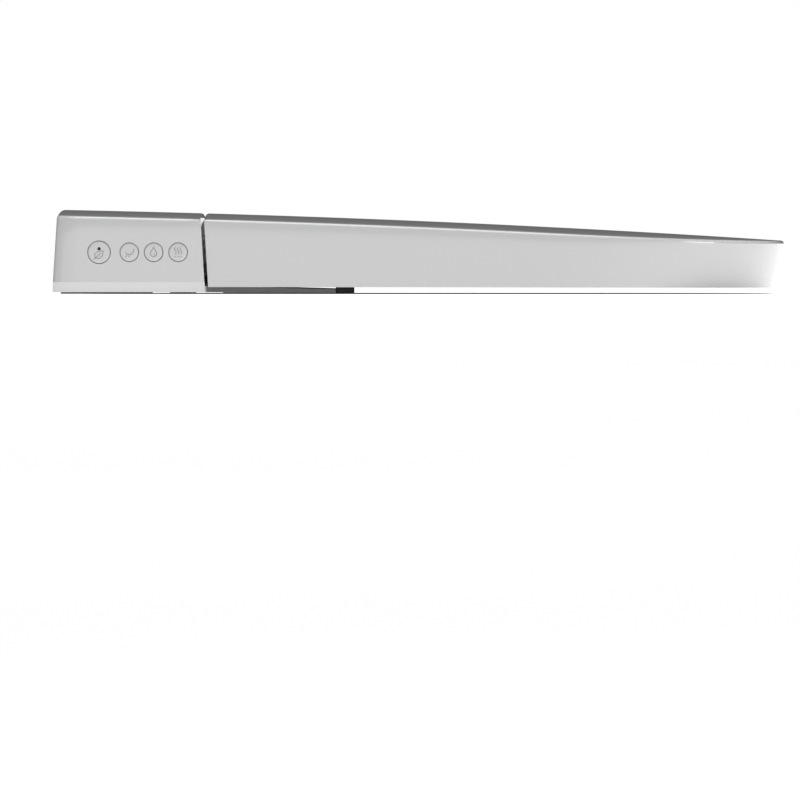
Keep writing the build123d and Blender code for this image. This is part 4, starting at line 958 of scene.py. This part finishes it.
def button_cap(name, node):
    """Round cap with a softly rounded rim and a shallow dish, on its flange and stem."""
    place, radius = button_place(node)
    low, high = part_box(node)
    start = place + OUT * -0.06 * MM
    back = high.x - place.x
    profile = [
        (0, 0), (radius * 0.45, 0.005 * MM), (radius - 1.25 * MM, 0.02 * MM), (radius - 0.85 * MM, 0.09 * MM),
        (radius - 0.5 * MM, 0.25 * MM), (radius - 0.2 * MM, 0.5 * MM), (radius, 0.9 * MM), (radius, 3.6 * MM),
        (radius + 1.0 * MM, 3.6 * MM), (radius + 1.0 * MM, 4.6 * MM), (2 * MM, 4.6 * MM),
        (2 * MM, back - 0.4 * MM), (1.5 * MM, back - 0.1 * MM),
    ]
    return turned(name, start, -OUT, profile, 96), place, radius


def stroke(points, width):
    """The two edges of a printed line through 2-D points."""
    left, right = [], []
    for index, point in enumerate(points):
        before = points[max(index - 1, 0)]
        after = points[min(index + 1, len(points) - 1)]
        dx, dy = after[0] - before[0], after[1] - before[1]
        size = hypot(dx, dy) or 1.0
        nx, ny = -dy / size * width / 2, dx / size * width / 2
        left.append((point[0] + nx, point[1] + ny))
        right.append((point[0] - nx, point[1] - ny))
    return left, right


def add_stroke(shape, place, points, width):
    """Adds a printed line to a bmesh, on the button's face."""
    left, right = stroke(points, width)
    rows = []
    for side, level in ((left, 0), (left, 1), (right, 1), (right, 0)):
        base = place + OUT * (-0.02 * MM + level * PRINT_HEIGHT)
        rows.append([shape.verts.new(base + RIGHT * x + UP * y) for x, y in side])
    for first, second in ((0, 1), (1, 2), (2, 3), (3, 0)):
        for index in range(len(points) - 1):
            a, b = rows[first], rows[second]
            shape.faces.new((a[index], a[index + 1], b[index + 1], b[index]))
    for index in (0, -1):
        shape.faces.new([row[index] for row in rows])


def arc_points(centre, radius, start, end, steps=14):
    turns = [radians(start + (end - start) * s / steps) for s in range(steps + 1)]
    return [(centre[0] + radius * cos(t), centre[1] + radius * sin(t)) for t in turns]


def leaf_icon(r):
    """A leaf with a midrib below the lamp."""
    low, high = (-0.34 * r, -0.52 * r), (0.36 * r, 0.12 * r)
    upper = [low, (-0.40 * r, -0.16 * r), (-0.16 * r, 0.06 * r), (0.12 * r, 0.12 * r), high]
    lower = [low, (0.02 * r, -0.56 * r), (0.26 * r, -0.36 * r), (0.34 * r, -0.12 * r), high]
    rib = [(-0.48 * r, -0.64 * r), low, (-0.05 * r, -0.24 * r), (0.16 * r, -0.06 * r)]
    return [upper, lower, rib]


def wash_icon(r):
    """A seat in profile with a jet that rises to it."""
    seat = arc_points((0.0, 0.22 * r), 0.46 * r, 205, 335)
    jet = [(-0.42 * r, -0.5 * r), (-0.2 * r, -0.3 * r)]
    second = [(-0.1 * r, -0.52 * r), (-0.02 * r, -0.36 * r)]
    back = [(0.42 * r, 0.02 * r), (0.5 * r, 0.4 * r)]
    return [seat, jet, second, back]


def rinse_icon(r):
    """A droplet."""
    round_part = arc_points((0.0, -0.14 * r), 0.34 * r, -215, 35, 22)
    left = [round_part[0], (-0.14 * r, 0.28 * r), (0.0, 0.54 * r)]
    right = [round_part[-1], (0.14 * r, 0.28 * r), (0.0, 0.54 * r)]
    glint = arc_points((0.0, -0.14 * r), 0.18 * r, -80, -10, 6)
    return [round_part, left, right, glint]


def dry_icon(r):
    """Three rising waves of warm air over a row of dots."""
    waves = []
    for x in (-0.3 * r, 0.0, 0.3 * r):
        waves.append([(x + 0.09 * r * sin(pi * s / 5), -0.18 * r + 0.07 * r * s) for s in range(11)])
    dots = [arc_points((x, -0.44 * r), 0.035 * r, 0, 350, 8) for x in (-0.3 * r, 0.0, 0.3 * r)]
    return waves + dots


class BIDET_OT_buttons(bpy.types.Operator):
    """Makes the four push buttons with their printed icons, and the lamp."""
    bl_idname = "bidet.buttons"
    bl_label = "Push buttons"

    def execute(self, context):
        icons = (leaf_icon, wash_icon, rinse_icon, dry_icon)
        for node, body, icon in zip(BUTTON_NODES, BUTTON_BODIES, icons):
            cap, place, radius = button_cap(f"{node}_cap", node)
            smooth(cap, 40)
            finish_piece(cap, body, "button_plastic", node)
            self.add_print(f"{node}_print", body, place, radius, icon)
        self.add_lamp()
        return {"FINISHED"}

    def add_print(self, name, body, place, radius, icon):
        width = sizes().icon_line
        shape = bmesh.new()
        for points in icon(radius):
            add_stroke(shape, place, points, width)
        bmesh.ops.recalc_face_normals(shape, faces=shape.faces)
        mesh = bpy.data.meshes.new(name)
        shape.to_mesh(mesh)
        shape.free()
        finish_piece(new_object(name, mesh), body, "icon")

    def add_lamp(self):
        low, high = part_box("led_lens")
        middle = (low + high) / 2
        start = Vector((-half_width(middle.z), middle.y, middle.z)) + OUT * 0.03 * MM
        radius = (high.y - low.y) / 2
        profile = [(0, 0), (radius * 0.5, 0.03 * MM), (radius * 0.85, 0.09 * MM), (radius, 0.2 * MM),
                   (radius, 3 * MM)]
        lamp = turned("lamp_lens", start, -OUT, profile, 32)
        smooth(lamp, 50)
        finish_piece(lamp, "stop_button", "dark_lens", "led_lens")


# ======== Repeated pieces, made with Geometry Nodes ========

class Tree(Graph):
    """A geometry tree with named inputs, ending in Realize Instances and Set Material."""

    def __init__(self, name, inputs):
        super().__init__(bpy.data.node_groups.new(name, "GeometryNodeTree"))
        self.sockets = {}
        face = self.tree.interface
        face.new_socket("Geometry", in_out="OUTPUT", socket_type="NodeSocketGeometry")
        face.new_socket("Geometry", in_out="INPUT", socket_type="NodeSocketGeometry")
        for label, (kind, value) in inputs.items():
            socket = face.new_socket(label, in_out="INPUT", socket_type=kind)
            socket.default_value = value
            self.sockets[label] = socket.identifier
        self.entry = self.tree.nodes.new("NodeGroupInput")
        self.exit = self.tree.nodes.new("NodeGroupOutput")

    def given(self, label):
        return Sock(self, self.entry.outputs[label])

    def close(self, geometry, material):
        real = self.node("GeometryNodeRealizeInstances", {}, {"Geometry": geometry})
        painted = self.node("GeometryNodeSetMaterial", {}, {"Geometry": real, "Material": material})
        self.tree.links.new(painted.socket, self.exit.inputs["Geometry"])
        return self.tree

    def rod(self, sides, radius, length, height):
        """An upright cylinder with its middle at a height."""
        values = {"Vertices": sides, "Radius": radius, "Depth": length}
        made = self.node("GeometryNodeMeshCylinder", {}, values)
        values = {"Geometry": made, "Translation": self.combine(0.0, 0.0, height)}
        return self.node("GeometryNodeTransform", {}, values)

    def on_points(self, points, instance):
        values = {"Points": points, "Instance": instance}
        return self.node("GeometryNodeInstanceOnPoints", {}, values)

    def own_points(self):
        return self.node("GeometryNodeMeshToPoints", {}, {"Mesh": self.given("Geometry")})

    def joined(self, *parts):
        node = self.tree.nodes.new("GeometryNodeJoinGeometry")
        for part in reversed(parts):
            self.tree.links.new(part.socket, node.inputs[0])
        return Sock(self, node.outputs[0])


def grown(name, points, tree, values):
    """Runs a geometry tree on a few points and keeps the result as a plain mesh."""
    mesh = bpy.data.meshes.new(name)
    mesh.from_pydata([tuple(point) for point in points], [], [])
    target = new_object(name, mesh)
    change = target.modifiers.new("grow", "NODES")
    change.node_group = tree.tree
    for label, value in values.items():
        change[tree.sockets[label]] = value
    return settle(target, change)


FLOAT = "NodeSocketFloat"
VECTOR = "NodeSocketVector"
COUNT = "NodeSocketInt"


def screw_tree(material):
    """Cross-head screws pointing up, one on each point. The point is the underside of the head."""
    tree = Tree("screws", {
        "Head Radius": (FLOAT, 3 * MM), "Head Height": (FLOAT, 1.8 * MM), "Shank Radius": (FLOAT, 1.5 * MM),
        "Shank Length": (FLOAT, 12 * MM), "Recess": (FLOAT, 0.7 * MM),
    })
    head_radius, head_height = tree.given("Head Radius"), tree.given("Head Height")
    shank_radius, shank_length = tree.given("Shank Radius"), tree.given("Shank Length")
    recess = tree.given("Recess")
    head = tree.rod(28, head_radius, head_height, head_height / 2)
    shank = tree.rod(16, shank_radius, shank_length, head_height + shank_length / 2)
    bars = []
    for turn in (0.0, pi / 2):
        size = tree.combine(head_radius * 1.3, head_radius * 0.28, recess * 2)
        bar = tree.node("GeometryNodeMeshCube", {}, {"Size": size})
        bars.append(tree.node("GeometryNodeTransform", {}, {"Geometry": bar, "Rotation": (0.0, 0.0, turn)}))
    cutter = tree.joined(*bars)
    boolean = tree.tree.nodes.new("GeometryNodeMeshBoolean")
    boolean.operation = "DIFFERENCE"
    tree.tree.links.new(head.socket, boolean.inputs["Mesh 1"])
    tree.tree.links.new(cutter.socket, boolean.inputs["Mesh 2"])
    screw = tree.joined(Sock(tree, boolean.outputs["Mesh"]), shank)
    tree.close(tree.on_points(tree.own_points(), screw), material)
    return tree


def bar_tree(material):
    """A row of equal bars: Count bars of Size, each Step further on, from each point."""
    size = 10 * MM
    tree = Tree("bars", {
        "Count": (COUNT, 4), "Size": (VECTOR, (size, size, size)), "Step": (VECTOR, (0.0, 0.0, size))})
    values = {"Count": tree.given("Count"), "Offset": tree.given("Step")}
    line = tree.node("GeometryNodeMeshLine", {"mode": "OFFSET"}, values)
    bar = tree.node("GeometryNodeMeshCube", {}, {"Size": tree.given("Size")})
    tree.close(tree.on_points(tree.own_points(), tree.on_points(line, bar)), material)
    return tree


def node_points(node):
    """The centres, in plan, of the separate solids in a CAD node."""
    mesh = frame["nodes"][node].data
    shape = bmesh.new()
    shape.from_mesh(mesh)
    bmesh.ops.remove_doubles(shape, verts=shape.verts, dist=1e-6)
    left = set(shape.verts)
    centres = []
    while left:
        stack = [left.pop()]
        island = []
        while stack:
            vert = stack.pop()
            island.append(vert.co.copy())
            for edge in vert.link_edges:
                other = edge.other_vert(vert)
                if other in left:
                    left.remove(other)
                    stack.append(other)
        x, y, z = zip(*island)
        centres.append(Vector(((min(x) + max(x)) / 2, (min(y) + max(y)) / 2, min(z))))
    shape.free()
    return sorted(centres, key=lambda co: (round(co.x, 4), round(co.y, 4)))


class BIDET_OT_screws(bpy.types.Operator):
    """Makes the casing's and the ring's cross-head screws."""
    bl_idname = "bidet.screws"
    bl_label = "Screws"

    def execute(self, context):
        tree = screw_tree(FINISHES["steel"])
        for node, body, head, length in (
                ("casing_screws", "main_unit", 1.8, 15.0), ("ring_screws", "ring", 1.1, 8.8)):
            values = {"Head Radius": 3 * MM, "Head Height": head * MM, "Shank Radius": 1.5 * MM,
                      "Shank Length": length * MM, "Recess": 0.7 * head / 1.8 * MM}
            screws = grown(f"{node}_finished", node_points(node), tree, values)
            finish_piece(screws, body, "steel", node)
        return {"FINISHED"}


class BIDET_OT_vents(bpy.types.Operator):
    """Makes the slatted warm air outlet and the ribs under the lid."""
    bl_idname = "bidet.vents"
    bl_label = "Outlet and ribs"

    def execute(self, context):
        self.add_grille()
        self.add_ribs()
        return {"FINISHED"}

    def add_grille(self):
        """A frame with slats across it."""
        count = sizes().slats
        low, high = GRILLE_LOW, GRILLE_HIGH
        border = 1.6 * MM
        outer = box_object("outlet_frame", low, high)
        cut(outer, box_object("gap", (low.x + border, low.y - MM, low.z + border),
                              (high.x - border, high.y + MM, high.z - border)))
        inside = high.z - low.z - 2 * border
        step = inside / count
        slat = Vector((high.x - low.x - 2 * border + 0.2 * MM, (high.y - low.y) * 0.8, 1.1 * MM))
        first = ((low.x + high.x) / 2, (low.y + high.y) / 2, low.z + border + step / 2)
        tree = bar_tree(FINISHES["base_plastic"])
        values = {"Count": count, "Size": slat, "Step": (0.0, 0.0, step)}
        slats = grown("outlet_slats", [first], tree, values)
        finish_piece(outer, "main_unit", "base_plastic", "outlet_grille")
        finish_piece(slats, "main_unit", "base_plastic")

    def add_ribs(self):
        """Shallow cross ribs under the lid, clear of the seat ring."""
        depth, wall = sizes().rib_depth, sizes().wall
        ribs = []
        for x in (-60 * MM, 0.0, 60 * MM):
            ribs.append(self.rib(x, x, -HALF_LENGTH + 75 * MM, HINGE.y - 30 * MM, wall, depth))
        for y in (-110 * MM, 10 * MM, 100 * MM):
            ribs.append(self.rib(-HALF_WIDTH + 45 * MM, HALF_WIDTH - 45 * MM, y, y, wall, depth))
        whole = ribs[0]
        join(whole, *ribs[1:])
        whole.name = "lid_ribs"
        smooth(whole, 30)
        finish_piece(whole, "lid", "white_plastic")

    def rib(self, x0, x1, y0, y1, wall, depth):
        steps, half, tip = 24, 1.0 * MM, 0.6
        along_x = x0 != x1
        loops = []
        for s in range(steps + 1):
            x, y = x0 + (x1 - x0) * s / steps, y0 + (y1 - y0) * s / steps
            top = crown(x, y) - wall + 0.3 * MM
            across = (0, half) if along_x else (half, 0)
            low = top - depth - 0.3 * MM
            section = ((-1, top), (1, top), (tip, low), (-tip, low))
            loops.append([(x + across[0] * share, y + across[1] * share, z) for share, z in section])
        return lofted("rib", loops)


# ======== Nodes that keep their designed shape ========

class BIDET_OT_finishes(bpy.types.Operator):
    """Makes the finishes and gives every solid of the design its own."""
    bl_idname = "bidet.finishes"
    bl_label = "Finishes"

    def execute(self, context):
        FINISHES.clear()
        FINISHES.update(make_finishes())
        for name, node in frame["nodes"].items():
            node.data.materials.clear()
            node.data.materials.append(FINISHES["tray" if name == "base_tray" else slot_of(name)])
        return {"FINISHED"}


# ======== Stage ========

def aim(target, place, at):
    """Places a light or a camera so that it looks at a point."""
    target.location = place
    target.rotation_euler = (Vector(at) - Vector(place)).to_track_quat("-Z", "Y").to_euler()


def soft_light(name, place, at, size, watts):
    data = bpy.data.lights.new(name, "AREA")
    data.shape = "RECTANGLE"
    data.size, data.size_y = size
    data.energy = watts
    light = new_object(name, data)
    aim(light, place, at)
    return light


class BIDET_OT_stage(bpy.types.Operator):
    """Makes the pale floor, the soft lights, the surroundings and the camera."""
    bl_idname = "bidet.stage"
    bl_label = "Stage"

    def execute(self, context):
        self.add_floor()
        self.add_lights()
        self.add_world(context.scene)
        self.add_camera(context.scene)
        context.scene.view_settings.view_transform = "Standard"
        return {"FINISHED"}

    def add_floor(self):
        reach, shade_margin = 40.0, 5 * MM
        mesh = bpy.data.meshes.new("floor")
        corners = [(-reach, -reach, 0), (reach, -reach, 0), (reach, reach, 0), (-reach, reach, 0)]
        mesh.from_pydata(corners, [], [(0, 1, 2, 3)])
        floor = new_object("floor", mesh)
        floor.location.z = -0.1 * MM
        finish = Finish("pale_floor", {"Specular IOR Level": 0.0, "Emission Strength": 1.0})
        pale = finish.mix_colour(finish.noise(2.0), [0.88, 0.88, 0.88], [0.90, 0.90, 0.90])
        finish.tones(finish.noise(2.0), [0.29, 0.29, 0.29], [0.31, 0.31, 0.31])
        # Painted shadow: inside the seat's outline the floor's glow goes to black, so the floor is dark under
        # the seat in every pose.
        x, y, z = finish.separate(finish.place)
        across, along = HIGH.x - shade_margin, HIGH.y - shade_margin
        under = (x.positive() / across).power(4.0) + (y.positive() / along).power(4.0)
        painted_shadow = ((1.0 - under) * 8.0).clamped()
        finish.feed(finish.shader.inputs["Emission Color"], finish.mix_colour(painted_shadow, pale, [0.0, 0.0, 0.0]))
        finish.roughness(0.9 + 0.05 * finish.noise(5.0))
        mesh.materials.append(finish.material)

    def add_lights(self):
        middle = (0.0, 0.0, 0.03)
        soft_light("side_light", (-2.8, 0.6, 0.8), middle, (2.0, 1.0), 0.2)
        soft_light("front_light", (-0.75, -2.6, 0.5), (0, -0.2, 0.03), (0.9, 0.9), 12)
        soft_light("top_light", (-0.2, 0.2, 2.6), middle, (2.4, 2.4), 45)

    def add_world(self, scene):
        """White to the eye. What the object reflects is dim near the horizon and brighter overhead."""
        world = bpy.data.worlds.new("studio")
        world.use_nodes = True
        scene.world = world
        graph = Graph(world.node_tree)
        backdrop = world.node_tree.nodes["Background"]
        place = graph.node("ShaderNodeTexCoord", {}, {}, out="Generated")
        x, y, z = graph.separate(place)
        rise = graph.node("ShaderNodeMapRange", {"interpolation_type": "SMOOTHSTEP"}, {
            "Value": z, "From Min": 0.1, "From Max": 0.6, "To Min": 0.1, "To Max": 0.4})
        seen = graph.node("ShaderNodeLightPath", {}, {}, out="Is Camera Ray")
        graph.feed(backdrop.inputs["Color"], (1.0, 1.0, 1.0, 1.0))
        graph.feed(backdrop.inputs["Strength"], rise * (1.0 - seen) + seen)

    def add_camera(self, scene):
        """Level with the seat, from its right-hand side, through a long lens."""
        distance, width, upward_shift = 12.0, 595.7 * MM, -0.183
        data = bpy.data.cameras.new("camera")
        data.sensor_width = 36.0
        data.lens = data.sensor_width * distance / width
        data.clip_end = 100.0
        camera = new_object("camera", data)
        centre = Vector((-HALF_WIDTH, 15.5 * MM, 30 * MM))
        aim(camera, centre - Vector((distance, 0, 0)), centre)
        data.shift_y = upward_shift
        scene.camera = camera


# ======== Panel and registration ========

OPERATORS = (
    BIDET_OT_finishes, BIDET_OT_stage, BIDET_OT_lid, BIDET_OT_casing, BIDET_OT_ring, BIDET_OT_buttons,
    BIDET_OT_screws, BIDET_OT_vents,
)


class BIDET_PT_panel(bpy.types.Panel):
    """Lists the steps that build the seat."""
    bl_idname = "BIDET_PT_panel"
    bl_label = "Bidet seat"
    bl_space_type = "VIEW_3D"
    bl_region_type = "UI"
    bl_category = "Bidet seat"

    def draw(self, context):
        for group in (context.scene.bidet_sizes, context.scene.bidet_colours):
            for name in group.bl_rna.properties.keys():
                if name not in ("rna_type", "name"):
                    self.layout.prop(group, name)
        for operator in OPERATORS:
            self.layout.operator(operator.bl_idname)


CLASSES = (BidetSizes, BidetColours, *OPERATORS, BIDET_PT_panel)


def register():
    for each in CLASSES:
        bpy.utils.register_class(each)
    bpy.types.Scene.bidet_sizes = bpy.props.PointerProperty(type=BidetSizes)
    bpy.types.Scene.bidet_colours = bpy.props.PointerProperty(type=BidetColours)


def unregister():
    del bpy.types.Scene.bidet_colours
    del bpy.types.Scene.bidet_sizes
    for each in reversed(CLASSES):
        bpy.utils.unregister_class(each)


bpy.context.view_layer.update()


def main():
    register()
    for operator in OPERATORS:
        group, name = operator.bl_idname.split(".")
        getattr(getattr(bpy.ops, group), name)()


if __name__ == "__main__":
    main()
